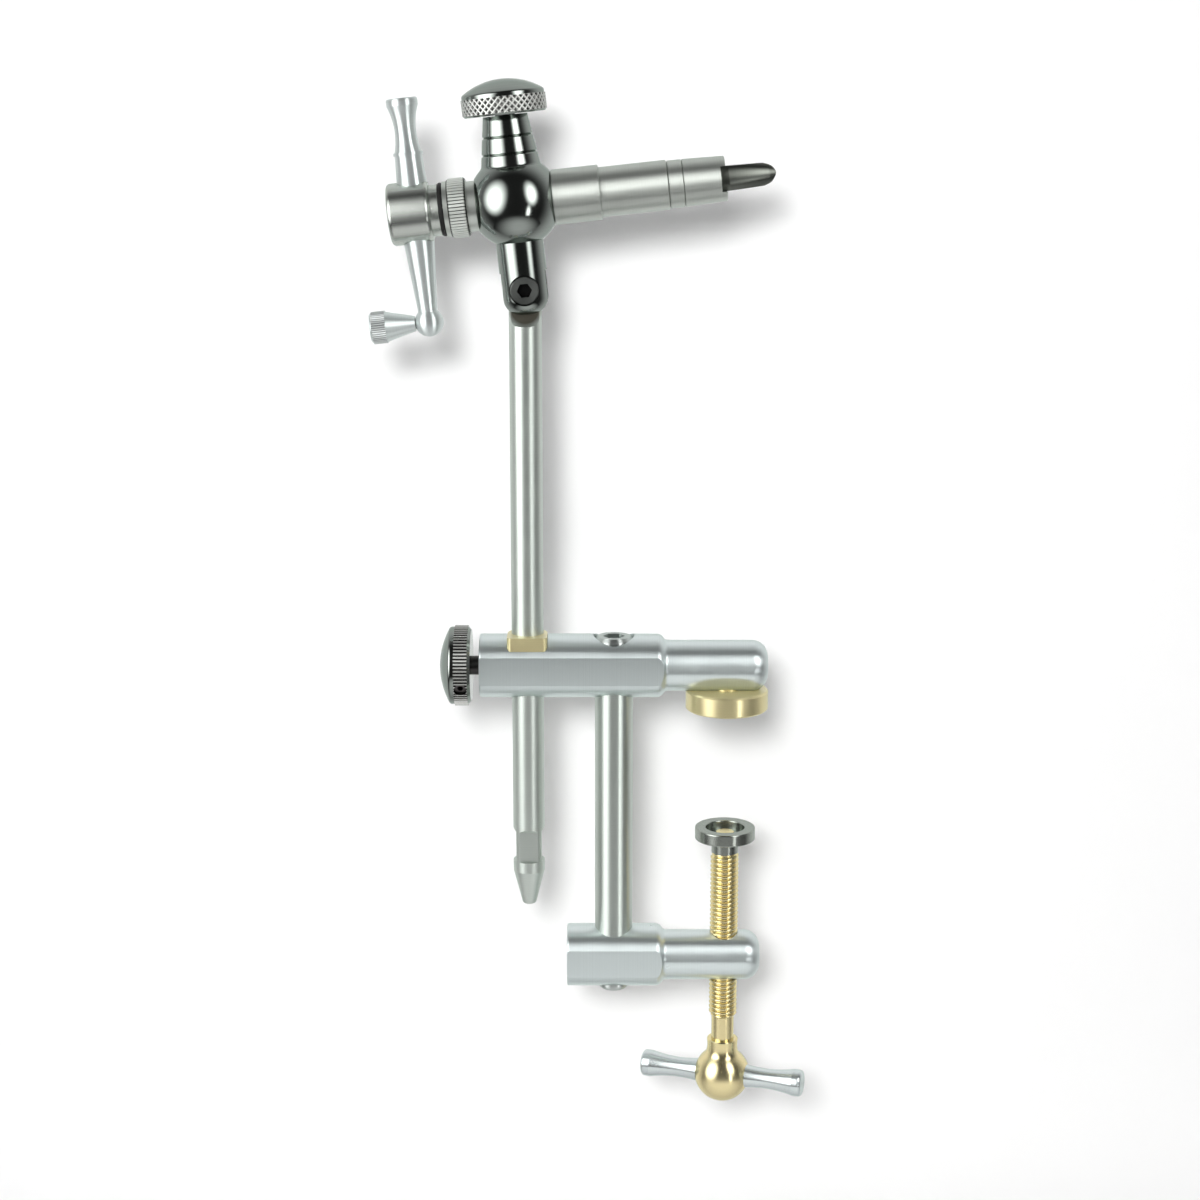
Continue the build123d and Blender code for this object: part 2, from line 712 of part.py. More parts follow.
# Head
# Head body: one turning with a slotted stem, a ball and a waisted neck.
stem_foot_v = -neck_axis_height - stem_below_pivot
stem_top_v = -((ball_radius**2 - (stem_diameter / 2) ** 2) ** 0.5)
slot_top_v = -neck_axis_height + post_diameter / 2 + slot_clearance
neck_foot_radius = (ball_radius**2 - neck_foot_height**2) ** 0.5
neck_slope = (neck_top_radius - neck_foot_radius) / (neck_top_height - neck_foot_height)
with BuildPart() as head_body:
    with BuildSketch(head_side) as half_head:
        with BuildLine():
            Polyline(
                (0, stem_foot_v),
                (stem_diameter / 2, stem_foot_v),
                (stem_diameter / 2, stem_top_v),
            )
            ThreePointArc(
                (stem_diameter / 2, stem_top_v), (ball_radius, 0), (neck_foot_radius, neck_foot_height)
            )
            Polyline(
                (neck_foot_radius, neck_foot_height),
                (neck_top_radius, neck_top_height),
                (0, neck_top_height),
                (0, stem_foot_v),
            )
        make_face()
        # Rounded foot of the stem, and the neck flowing into the ball
        foot_corner = half_head.vertices().sort_by_distance(Vector(stem_diameter / 2, stem_foot_v))[0]
        fillet(foot_corner, radius=stem_round)
        waist = half_head.vertices().sort_by_distance(Vector(neck_foot_radius, neck_foot_height))[0]
        fillet(waist, radius=neck_foot_fillet)
    revolve(axis=neck_axis)
    # Turned rings on the neck
    for height in ring_groove_heights:
        ring_face = neck_foot_radius + neck_slope * (height - neck_foot_height)
        turned(
            head_side,
            neck_axis,
            [
                (ring_face + ring_groove_depth, height + 2 * ring_groove_depth),
                (ring_face - ring_groove_depth, height),
                (ring_face + ring_groove_depth, height - 2 * ring_groove_depth),
            ],
            mode=Mode.SUBTRACT,
        )
    # Flats on the ball, bearing bore, brake bore
    for side in (1, -1):
        with BuildSketch(Plane(origin=ball_centre + u_dir * ball_flat * side, z_dir=u_dir * side)):
            Circle(ball_radius)
        extrude(amount=ball_radius, mode=Mode.SUBTRACT)
    bored(head_front, bearing_diameter / 2, -ball_radius, ball_radius)
    bored(head_top, brake_stud_diameter / 2 + running_gap, 0, neck_top_height)
    # Slot for the tongue of the post, pivot hole and counterbore
    with BuildSketch(head_side):
        with Locations((0, (stem_foot_v + slot_top_v) / 2 - slot_clearance)):
            Rectangle(2 * stem_diameter, slot_top_v - stem_foot_v + 2 * slot_clearance)
    extrude(amount=tongue_thickness / 2 + running_gap, both=True, mode=Mode.SUBTRACT)
    pivot_side = Plane(origin=pivot, x_dir=u_dir, z_dir=(0, -1, 0))
    pivot_seat = stem_diameter / 2 - pivot_head_sink - pivot_head_height
    pivot_end = stem_diameter / 2 - pivot_end_inset
    bored(pivot_side, pivot_shank_diameter / 2, -pivot_end, stem_diameter)
    bored(pivot_side, pivot_head_diameter / 2 + pivot_bore_gap, pivot_seat, stem_diameter)
head_body.part.label = "head_body"
export_step(head_body.part, "parts/head_body.step")

# Pivot screw: low socket head on the near side, threaded in the far cheek.
with BuildPart() as pivot_screw:
    with BuildSketch(pivot_side.offset(-pivot_end)):
        Circle(pivot_shank_diameter / 2)
    extrude(amount=pivot_end + pivot_seat)
    with BuildSketch(pivot_side.offset(pivot_seat)):
        Circle(pivot_head_diameter / 2)
    extrude(amount=pivot_head_height)
    rim = pivot_screw.faces().sort_by(Axis.Y)[0].edges().filter_by(GeomType.CIRCLE)
    chamfer(rim, length=pivot_head_chamfer)
    hex_socket(pivot_side.offset(pivot_seat + pivot_head_height), pivot_hex, pivot_hex_depth)
pivot_screw.part.label = "pivot_screw"
export_step(pivot_screw.part, "parts/pivot_screw.step")

# Two bronze bushes carry the spindle on either side of the brake plug.
bearing_length = ball_flat - bearing_inset - bearing_gap_half
with BuildPart() as front_bearing:
    with BuildSketch(head_front.offset(bearing_gap_half)):
        Circle(bearing_diameter / 2)
        Circle(journal_diameter / 2 + running_gap, mode=Mode.SUBTRACT)
    extrude(amount=bearing_length)
front_bearing.part.label = "front_bearing"
export_step(front_bearing.part, "parts/front_bearing.step")

with BuildPart() as rear_bearing:
    with BuildSketch(head_front.offset(-bearing_gap_half)):
        Circle(bearing_diameter / 2)
        Circle(journal_diameter / 2 + running_gap, mode=Mode.SUBTRACT)
    extrude(amount=-bearing_length)
rear_bearing.part.label = "rear_bearing"
export_step(rear_bearing.part, "parts/rear_bearing.step")

# Brake plug, stud and domed knob on the neck.
plug_foot_v = journal_diameter / 2 + running_gap
stud_foot_v = plug_foot_v + brake_plug_length + running_gap
brake_knob_v = neck_top_height + brake_knob_lift
brake_band_v = brake_knob_v + brake_knob_band
stud_head_v = brake_band_v + brake_knob_dome - brake_knob_wall
with BuildPart() as brake_plug:
    with BuildSketch(head_top.offset(plug_foot_v)):
        Circle(brake_stud_diameter / 2)
    extrude(amount=brake_plug_length)
brake_plug.part.label = "brake_plug"
export_step(brake_plug.part, "parts/brake_plug.step")

with BuildPart() as brake_screw:
    with BuildSketch(head_top.offset(stud_foot_v)):
        Circle(brake_stud_diameter / 2)
    extrude(amount=stud_head_v - stud_foot_v)
brake_screw.part.label = "brake_screw"
export_step(brake_screw.part, "parts/brake_screw.step")

with BuildPart() as brake_knob:
    with BuildSketch(head_side) as half_brake_knob:
        land_radius = brake_knob_diameter / 2 - brake_knob_land_step
        land_v = brake_band_v - brake_knob_land
        with BuildLine():
            Polyline(
                (0, brake_knob_v),
                (brake_knob_diameter / 2 - brake_knob_edge, brake_knob_v),
                (brake_knob_diameter / 2, brake_knob_v + brake_knob_edge),
                (brake_knob_diameter / 2, land_v),
                (land_radius, land_v),
                (land_radius, brake_band_v),
            )
            crown = land_radius**2 / (2 * brake_knob_dome) + brake_knob_dome / 2
            RadiusArc((land_radius, brake_band_v), (0, brake_band_v + brake_knob_dome), -crown)
            Line((0, brake_band_v + brake_knob_dome), (0, brake_knob_v))
        make_face()
        band_corner = half_brake_knob.vertices().sort_by_distance(Vector(land_radius, brake_band_v))[0]
        fillet(band_corner, radius=brake_knob_round)
    revolve(axis=neck_axis)
    bored(head_top, brake_stud_diameter / 2, brake_knob_v, stud_head_v)
brake_knob.part.label = "brake_knob"
export_step(brake_knob.part, "parts/brake_knob.step")

# Spindle and jaws
# Spindle: stepped sleeve with a journal through the ball and a lip turned over in the hub.
with BuildPart() as spindle:
    turned(
        head_side,
        spindle_axis,
        [
            (lip_back_u, 0),
            (lip_back_u, tail_lip_radius),
            (lip_front_u, tail_lip_radius),
            (lip_front_u, journal_diameter / 2),
            (spindle_start, journal_diameter / 2),
            (spindle_start, sleeve_radius),
            (sleeve_u, sleeve_radius),
            (sleeve_u, barrel_radius),
            (barrel_u, barrel_radius),
            (barrel_u, band_radius),
            (band_u, band_radius),
            (face_u, nose_front_radius),
            (face_u, 0),
        ],
        rounds=[(5, spindle_edge), (6, spindle_edge), (11, spindle_edge)],
    )
    for groove_u in (barrel_u, band_u):
        turned(
            head_side,
            spindle_axis,
            [
                (groove_u - spindle_groove_width / 2, barrel_radius + spindle_groove_depth),
                (groove_u, band_radius - spindle_groove_depth),
                (groove_u + spindle_groove_width / 2, barrel_radius + spindle_groove_depth),
            ],
            mode=Mode.SUBTRACT,
        )
    bored(head_front, drawbar_diameter / 2 + running_gap, lip_back_u, face_u)
    # Channel that guides the drawbar's head and the jaws, and the cross slot of the mouth
    with BuildSketch(head_front.offset(face_u)):
        Rectangle(channel_width, channel_height)
    extrude(amount=-channel_length, mode=Mode.SUBTRACT)
    with BuildSketch(head_front.offset(face_u)):
        Rectangle(4 * nose_front_radius, channel_height)
    extrude(amount=-mouth_slot_depth, mode=Mode.SUBTRACT)
spindle.part.label = "spindle"
export_step(spindle.part, "parts/spindle.step")

# Adjusting collar behind the ball, straight knurled.
knurl_u = collar_u - collar_neck_length
flange_u = knurl_u - collar_knurl_length
with BuildPart() as adjusting_collar:
    turned(
        head_side,
        spindle_axis,
        [
            (collar_u, 0),
            (collar_u, collar_neck_radius),
            (knurl_u, collar_neck_radius),
            (knurl_u, collar_flange_radius),
            (flange_u - collar_flange_length, collar_flange_radius),
            (flange_u - collar_flange_length, 0),
        ],
    )
    toothed(
        head_front.offset(flange_u),
        collar_knurl_radius,
        collar_knurl_depth,
        collar_knurl_teeth,
        collar_knurl_length,
    )
    # Bevel on both ends of the knurl
    for end_u, inward in ((flange_u, 1), (knurl_u, -1)):
        turned(
            head_side,
            spindle_axis,
            [
                (end_u, collar_knurl_radius - collar_knurl_edge),
                (end_u, collar_knurl_radius + collar_knurl_edge),
                (end_u + inward * 2 * collar_knurl_edge, collar_knurl_radius + collar_knurl_edge),
            ],
            mode=Mode.SUBTRACT,
        )
    bored(
        head_front,
        journal_diameter / 2 + running_gap,
        flange_u - collar_flange_length,
        collar_u,
    )
adjusting_collar.part.label = "adjusting_collar"
export_step(adjusting_collar.part, "parts/adjusting_collar.step")

# Rubber ring between the collar and the hub.
with BuildPart() as o_ring:
    ring_bore = journal_diameter / 2 + running_gap
    turned(
        head_side,
        spindle_axis,
        [
            (ring_u - ring_width, ring_bore),
            (ring_u - ring_width, ring_radius),
            (ring_u, ring_radius),
            (ring_u, ring_bore),
        ],
        rounds=[(1, (ring_width - ring_flat) / 2), (2, (ring_width - ring_flat) / 2)],
    )
o_ring.part.label = "o_ring"
export_step(o_ring.part, "parts/o_ring.step")

# Rear hub: drum that turns on the spindle's tail and screws the drawbar in and out.
with BuildPart() as rear_hub:
    turned(
        head_side,
        spindle_axis,
        [
            (hub_end_u, 0),
            (hub_end_u, hub_radius),
            (hub_u, hub_radius),
            (hub_u, spigot_radius),
            (spigot_u, spigot_radius),
            (spigot_u, 0),
        ],
        rounds=[(1, hub_round), (2, hub_round)],
    )
    bored(head_front, journal_diameter / 2 + running_gap, lip_front_u, spigot_u)
    bored(
        head_front,
        tail_lip_radius + running_gap,
        lip_back_u - lip_room / 2,
        lip_front_u + lip_room / 2,
    )
    bored(head_front, drawbar_diameter / 2 + running_gap, hub_end_u + hub_end_wall, spigot_u)
    # Spot faces and stud holes of the lever above and the crank below
    for side in (1, -1):
        bar_plane = Plane(
            origin=ball_centre + u_dir * cross_u, x_dir=u_dir, z_dir=v_dir * side
        )
        spot_radius = max(lever_base_radius, crank_base_radius) + running_gap
        bored(bar_plane, spot_radius, bar_seat_height, hub_radius + 1)
        bored(bar_plane, bar_stud_diameter / 2, drawbar_diameter / 2 + stud_to_drawbar, hub_radius)
rear_hub.part.label = "rear_hub"
export_step(rear_hub.part, "parts/rear_hub.step")

# Hub lever: flared handle with a ring above its root and a capped end.
stud_inner = drawbar_diameter / 2 + stud_to_drawbar
with BuildPart() as hub_lever:
    ring_top = lever_ring_height + lever_ring_width
    cap_foot = lever_top - lever_cap_height
    with BuildSketch(head_cross) as half_lever:
        with BuildLine():
            Polyline(
                (0, stud_inner),
                (bar_stud_diameter / 2, stud_inner),
                (bar_stud_diameter / 2, bar_seat_height),
                (lever_base_radius, bar_seat_height),
                (lever_neck_radius, lever_ring_height),
                (lever_ring_radius, lever_ring_height),
                (lever_ring_radius, ring_top),
                (lever_neck_radius, ring_top),
            )
            ThreePointArc(
                (lever_neck_radius, ring_top),
                (lever_waist_radius, lever_waist_height),
                (lever_cap_radius, cap_foot),
            )
            Polyline((lever_cap_radius, cap_foot), (lever_cap_radius, lever_top), (0, lever_top))
            Line((0, lever_top), (0, stud_inner))
        make_face()
        fillet(
            half_lever.vertices().sort_by_distance(Vector(lever_cap_radius, lever_top))[0],
            radius=lever_cap_round,
        )
    revolve(axis=cross_axis)
hub_lever.part.label = "hub_lever"
export_step(hub_lever.part, "parts/hub_lever.step")

# Crank arm: tapered arm that ends in a ball, with a flat for the knob to run against.
crank_ball_centre = ball_centre + u_dir * cross_u - v_dir * crank_reach
pin_plane = Plane(origin=crank_ball_centre, x_dir=(0, 1, 0), z_dir=-u_dir)
with BuildPart() as crank_arm:
    turned(
        head_cross,
        cross_axis,
        [
            (0, -stud_inner),
            (bar_stud_diameter / 2, -stud_inner),
            (bar_stud_diameter / 2, -bar_seat_height),
            (crank_base_radius, -bar_seat_height),
            (crank_tip_radius, crank_ball_radius - crank_reach),
            (crank_tip_radius, -crank_reach),
            (0, -crank_reach),
        ],
    )
    with Locations(Location(crank_ball_centre)):
        Sphere(crank_ball_radius)
    bored(pin_plane, crank_ball_radius, crank_ball_flat, 2 * crank_ball_radius)
    bored(pin_plane, crank_pin_diameter / 2, crank_ball_radius - crank_pin_seat, 2 * crank_ball_radius)
crank_arm.part.label = "crank_arm"
export_step(crank_arm.part, "parts/crank_arm.step")

# Crank pin, pressed into the ball.
with BuildPart() as crank_pin:
    with BuildSketch(pin_plane.offset(crank_ball_radius - crank_pin_seat)):
        Circle(crank_pin_diameter / 2)
    extrude(amount=crank_pin_length)
crank_pin.part.label = "crank_pin"
export_step(crank_pin.part, "parts/crank_pin.step")

# Crank knob: cone with a knurled end, free on its pin.
crank_small_u = cross_u - crank_ball_flat - crank_knob_gap
crank_large_u = crank_small_u - crank_cone_length
crank_end_u = crank_large_u - crank_knurl_length
crank_knurl_root = crank_knurl_radius - crank_knurl_depth
with BuildPart() as crank_knob:
    turned(
        Plane(origin=ball_centre - v_dir * crank_reach, x_dir=u_dir, z_dir=(0, -1, 0)),
        crank_knob_axis,
        [
            (crank_end_u, 0),
            (crank_end_u, crank_knurl_root - crank_knob_edge),
            (crank_end_u + crank_knob_edge, crank_knurl_root),
            (crank_large_u, crank_knurl_root),
            (crank_large_u, crank_cone_large_radius),
            (crank_small_u, crank_cone_small_radius),
            (crank_small_u, 0),
        ],
    )
    toothed(
        Plane(
            origin=ball_centre - v_dir * crank_reach + u_dir * crank_large_u,
            x_dir=(0, 1, 0),
            z_dir=-u_dir,
        ),
        crank_knurl_radius,
        crank_knurl_depth,
        crank_knurl_teeth,
        crank_knurl_length - crank_knob_edge,
    )
    bored(
        pin_plane,
        crank_pin_diameter / 2 + running_gap,
        0,
        crank_pin_length + crank_ball_radius - crank_pin_seat + running_gap,
    )
crank_knob.part.label = "crank_knob"
export_step(crank_knob.part, "parts/crank_knob.step")

# Drawbar: rod through the spindle with a forked head that carries the jaws.
drawbar_tail_u = hub_end_u + hub_end_wall + drawbar_tail_inset
with BuildPart() as drawbar:
    with BuildSketch(head_front.offset(drawbar_tail_u)):
        Circle(drawbar_diameter / 2)
    extrude(amount=drawbar_head_u - drawbar_tail_u)
    with BuildSketch(head_front.offset(drawbar_head_u)):
        Rectangle(channel_width - 2 * slide_gap, channel_height - 2 * slide_gap)
    extrude(amount=drawbar_head_length)
    with BuildSketch(head_front.offset(drawbar_front_u)):
        Rectangle(2 * channel_width, fork_gap)
    extrude(amount=-fork_length, mode=Mode.SUBTRACT)
    with BuildSketch(head_top):
        with Locations((jaw_pin_u, jaw_pin_offset), (jaw_pin_u, -jaw_pin_offset)):
            Circle(jaw_pin_diameter / 2)
    extrude(amount=channel_height, both=True, mode=Mode.SUBTRACT)
drawbar.part.label = "drawbar"
export_step(drawbar.part, "parts/drawbar.step")

# The two pins of the jaws.
with BuildPart() as jaw_pins:
    with BuildSketch(head_top):
        with Locations((jaw_pin_u, jaw_pin_offset), (jaw_pin_u, -jaw_pin_offset)):
            Circle(jaw_pin_diameter / 2)
    extrude(amount=channel_height / 2 - 2 * slide_gap, both=True)
jaw_pins.part.label = "jaw_pins"
export_step(jaw_pins.part, "parts/jaw_pins.step")


# Jaws: two hardened halves, round on the outside, that taper to a bevelled and rounded tip.
def jaw(side):
    """One jaw; side is +1 for the far jaw and -1 for the near one."""
    tip_u = face_u + jaw_reach
    root_u = jaw_pin_u + jaw_root
    back_u = jaw_pin_u - jaw_tail_length
    swell_u = face_u + jaw_mouth_past_face
    bevel_u = tip_u - jaw_bevel_length
    flank = jaw_reach - jaw_tip_start
    slope = jaw_tip_half_height - jaw_half_height
    with BuildSketch(head_top) as plan:
        with BuildLine():
            Polyline(
                (bevel_u, side * jaw_bevel_width),
                (tip_u, side * jaw_tip_width),
                (tip_u, side * jaw_split / 2),
                (root_u, side * jaw_split / 2),
                (root_u - jaw_tail_gap, side * jaw_tail_gap),
                (back_u, side * jaw_tail_gap),
                (back_u, side * (jaw_pin_offset + jaw_tail_length)),
                (root_u, side * jaw_root_width),
                (swell_u, side * jaw_mouth_width),
            )
            ThreePointArc(
                (swell_u, side * jaw_mouth_width),
                (
                    (swell_u + bevel_u) / 2,
                    side * ((jaw_mouth_width + jaw_bevel_width) / 2 + jaw_belly),
                ),
                (bevel_u, side * jaw_bevel_width),
            )
        make_face()
    extrude(plan.sketch, amount=jaw_half_height, both=True)
    round_axis = Axis(ball_centre - Vector(0, side * jaw_round_offset, 0), u_dir)
    revolve(plan.sketch, axis=round_axis, mode=Mode.INTERSECT)
    with BuildSketch(head_side) as outline:
        with BuildLine():
            Polyline(
                (tip_u - jaw_tip_start, -jaw_tip_half_height),
                (face_u, -jaw_half_height),
                (back_u - jaw_tail_length, -jaw_half_height),
                (back_u - jaw_tail_length, jaw_half_height),
                (face_u, jaw_half_height),
                (tip_u - jaw_tip_start, jaw_tip_half_height),
            )
            Spline(
                (tip_u - jaw_tip_start, jaw_tip_half_height),
                (tip_u - jaw_tip_start * (1 - jaw_tip_shoulder), jaw_tip_half_height * jaw_tip_shoulder),
                (tip_u, 0),
                (tip_u - jaw_tip_start * (1 - jaw_tip_shoulder), -jaw_tip_half_height * jaw_tip_shoulder),
                (tip_u - jaw_tip_start, -jaw_tip_half_height),
                tangents=((flank, slope), (-flank, slope)),
            )
        make_face()
    extrude(outline.sketch, amount=2 * jaw_mouth_width, both=True, mode=Mode.INTERSECT)
    # Tail thinned to go between the fork's cheeks
    for cheek_side in (1, -1):
        with BuildSketch(head_side) as cheek_cut:
            cheek_v = cheek_side * (fork_gap / 2 - slide_gap)
            with BuildLine():
                Polyline(
                    (back_u - jaw_tail_length, cheek_v),
                    (root_u, cheek_v),
                    (root_u, cheek_side * 2 * jaw_half_height),
                    (back_u - jaw_tail_length, cheek_side * 2 * jaw_half_height),
                    close=True,
                )
            make_face()
        extrude(cheek_cut.sketch, amount=2 * jaw_mouth_width, both=True, mode=Mode.SUBTRACT)
    with BuildSketch(head_top) as pin_hole:
        with Locations((jaw_pin_u, side * jaw_pin_offset)):
            Circle(jaw_pin_diameter / 2 + running_gap)
    extrude(pin_hole.sketch, amount=jaw_half_height, both=True, mode=Mode.SUBTRACT)


with BuildPart() as jaw_near:
    jaw(-1)
jaw_near.part.label = "jaw_near"
export_step(jaw_near.part, "parts/jaw_near.step")

with BuildPart() as jaw_far:
    jaw(1)
jaw_far.part.label = "jaw_far"
export_step(jaw_far.part, "parts/jaw_far.step")

# Clamp screw
# Swivel pad: steel cup that turns on the riveted end of the screw.
with BuildPart() as swivel_pad:
    rim_foot_z = swivel_top_z - swivel_rim
    turned(
        Plane.XZ,
        Axis.Z,
        [
            (rivet_shank_diameter / 2 + running_gap, swivel_floor_z),
            (swivel_recess_diameter / 2, swivel_floor_z),
            (swivel_recess_diameter / 2, swivel_top_z),
            (swivel_diameter / 2, swivel_top_z),
            (swivel_diameter / 2, rim_foot_z),
            (swivel_collar_diameter / 2, rim_foot_z),
            (swivel_collar_diameter / 2, swivel_base_z),
            (rivet_shank_diameter / 2 + running_gap, swivel_base_z),
        ],
        rounds=[(2, swivel_edge), (3, swivel_edge), (4, swivel_edge)],
    )
swivel_pad.part.label = "swivel_pad"
export_step(swivel_pad.part, "parts/swivel_pad.step")

# Screw: riveted end, thread, neck and a pear shaped bulb in one piece.
with BuildPart() as clamp_screw:
    rivet_foot_z = swivel_floor_z + running_gap
    with BuildSketch(Plane.XZ):
        with BuildLine():
            Polyline(
                (0, rivet_foot_z + rivet_height),
                (rivet_diameter / 2, rivet_foot_z + rivet_height),
                (rivet_diameter / 2, rivet_foot_z),
                (rivet_shank_diameter / 2, rivet_foot_z),
                (rivet_shank_diameter / 2, screw_top_z),
                (thread_diameter / 2 - thread_runout, screw_top_z),
                (thread_diameter / 2, screw_top_z - thread_runout),
                (thread_diameter / 2, thread_end_z + thread_runout),
                (screw_neck_diameter / 2, thread_end_z),
                (screw_neck_diameter / 2, bulb_top_z),
                (bulb_shoulder_diameter / 2, bulb_top_z),
            )
            flare_z = bulb_z + (bulb_radius**2 - bulb_flare_radius**2) ** 0.5
            Spline(
                (bulb_shoulder_diameter / 2, bulb_top_z),
                (bulb_flare_radius, flare_z),
                tangents=((0, -1), (flare_z - bulb_z, -bulb_flare_radius)),
            )
            ThreePointArc(
                (bulb_flare_radius, flare_z),
                (bulb_radius, bulb_z),
                (0, bulb_z - bulb_radius),
            )
            Line((0, bulb_z - bulb_radius), (0, rivet_foot_z + rivet_height))
        make_face()
    revolve(axis=Axis.Z)
    # Seats and stud holes of the two handles
    for side in (1, -1):
        handle_dir = Vector(cos(radians(handle_turn)), sin(radians(handle_turn)), 0) * side
        handle_plane = Plane(origin=(0, 0, bulb_z), x_dir=(0, 0, 1), z_dir=handle_dir)
        bored(handle_plane, handle_root_radius + running_gap, handle_seat, 2 * bulb_radius)
        bored(handle_plane, handle_stud_diameter / 2, handle_seat - handle_stud_length, bulb_radius)
clamp_screw.part.label = "clamp_screw"
export_step(clamp_screw.part, "parts/clamp_screw.step")


# Handles: turned bars that flare to a rounded end.
def handle(side):
    """One handle; side is +1 for the one towards the nose of the arm."""
    out_dir = Vector(cos(radians(handle_turn)), sin(radians(handle_turn)), 0) * side
    handle_side = Plane(origin=(0, 0, bulb_z), x_dir=out_dir, z_dir=out_dir.cross(Vector(0, 0, 1)))
    end_start = handle_reach - handle_end_length
    with BuildSketch(handle_side) as half_handle:
        with BuildLine():
            Polyline(
                (handle_seat - handle_stud_length, 0),
                (handle_seat - handle_stud_length, handle_stud_diameter / 2),
                (handle_seat, handle_stud_diameter / 2),
                (handle_seat, handle_root_radius),
            )
            ThreePointArc(
                (handle_seat, handle_root_radius),
                (handle_waist_at, handle_waist_radius),
                (end_start, handle_end_radius),
            )
            Polyline(
                (end_start, handle_end_radius),
                (handle_reach, handle_end_radius),
                (handle_reach, 0),
            )
            Line((handle_reach, 0), (handle_seat - handle_stud_length, 0))
        make_face()
        fillet(
            half_handle.vertices().sort_by_distance(Vector(handle_reach, handle_end_radius))[0],
            radius=handle_end_round,
        )
    revolve(half_handle.sketch, axis=Axis((0, 0, bulb_z), out_dir))


with BuildPart() as handle_left:
    handle(-1)
handle_left.part.label = "handle_left"
export_step(handle_left.part, "parts/handle_left.step")

with BuildPart() as handle_right:
    handle(1)
handle_right.part.label = "handle_right"
export_step(handle_right.part, "parts/handle_right.step")
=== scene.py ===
import bpy
import math
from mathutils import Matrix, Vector


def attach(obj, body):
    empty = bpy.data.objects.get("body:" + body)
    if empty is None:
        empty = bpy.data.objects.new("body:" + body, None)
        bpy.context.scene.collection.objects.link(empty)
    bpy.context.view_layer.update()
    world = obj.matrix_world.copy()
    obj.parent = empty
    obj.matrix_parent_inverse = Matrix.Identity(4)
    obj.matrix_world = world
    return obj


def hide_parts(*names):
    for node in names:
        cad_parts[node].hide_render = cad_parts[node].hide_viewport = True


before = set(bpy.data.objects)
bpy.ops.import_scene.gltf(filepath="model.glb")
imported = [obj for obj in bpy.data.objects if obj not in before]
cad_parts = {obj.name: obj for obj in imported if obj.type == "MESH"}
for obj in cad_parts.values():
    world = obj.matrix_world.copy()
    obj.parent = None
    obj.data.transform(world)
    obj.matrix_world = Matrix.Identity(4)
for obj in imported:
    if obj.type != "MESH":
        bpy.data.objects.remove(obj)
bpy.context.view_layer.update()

# Clamp arms
# Two bars of aluminium, turned down at the nose and polished, with a long flat milled on the
# near side. The flats carry fine lengthwise milling lines and stay bare.
along_x = (1.0, 0.0, 0.0)
upright = (0.0, 0.0, 1.0)
milled_from_y = -0.00885
edge_tint = (0.66, 0.71, 0.68, 1.0)
grain_lean = 40.0
ring_shade = 0.90
patch_share = 0.15


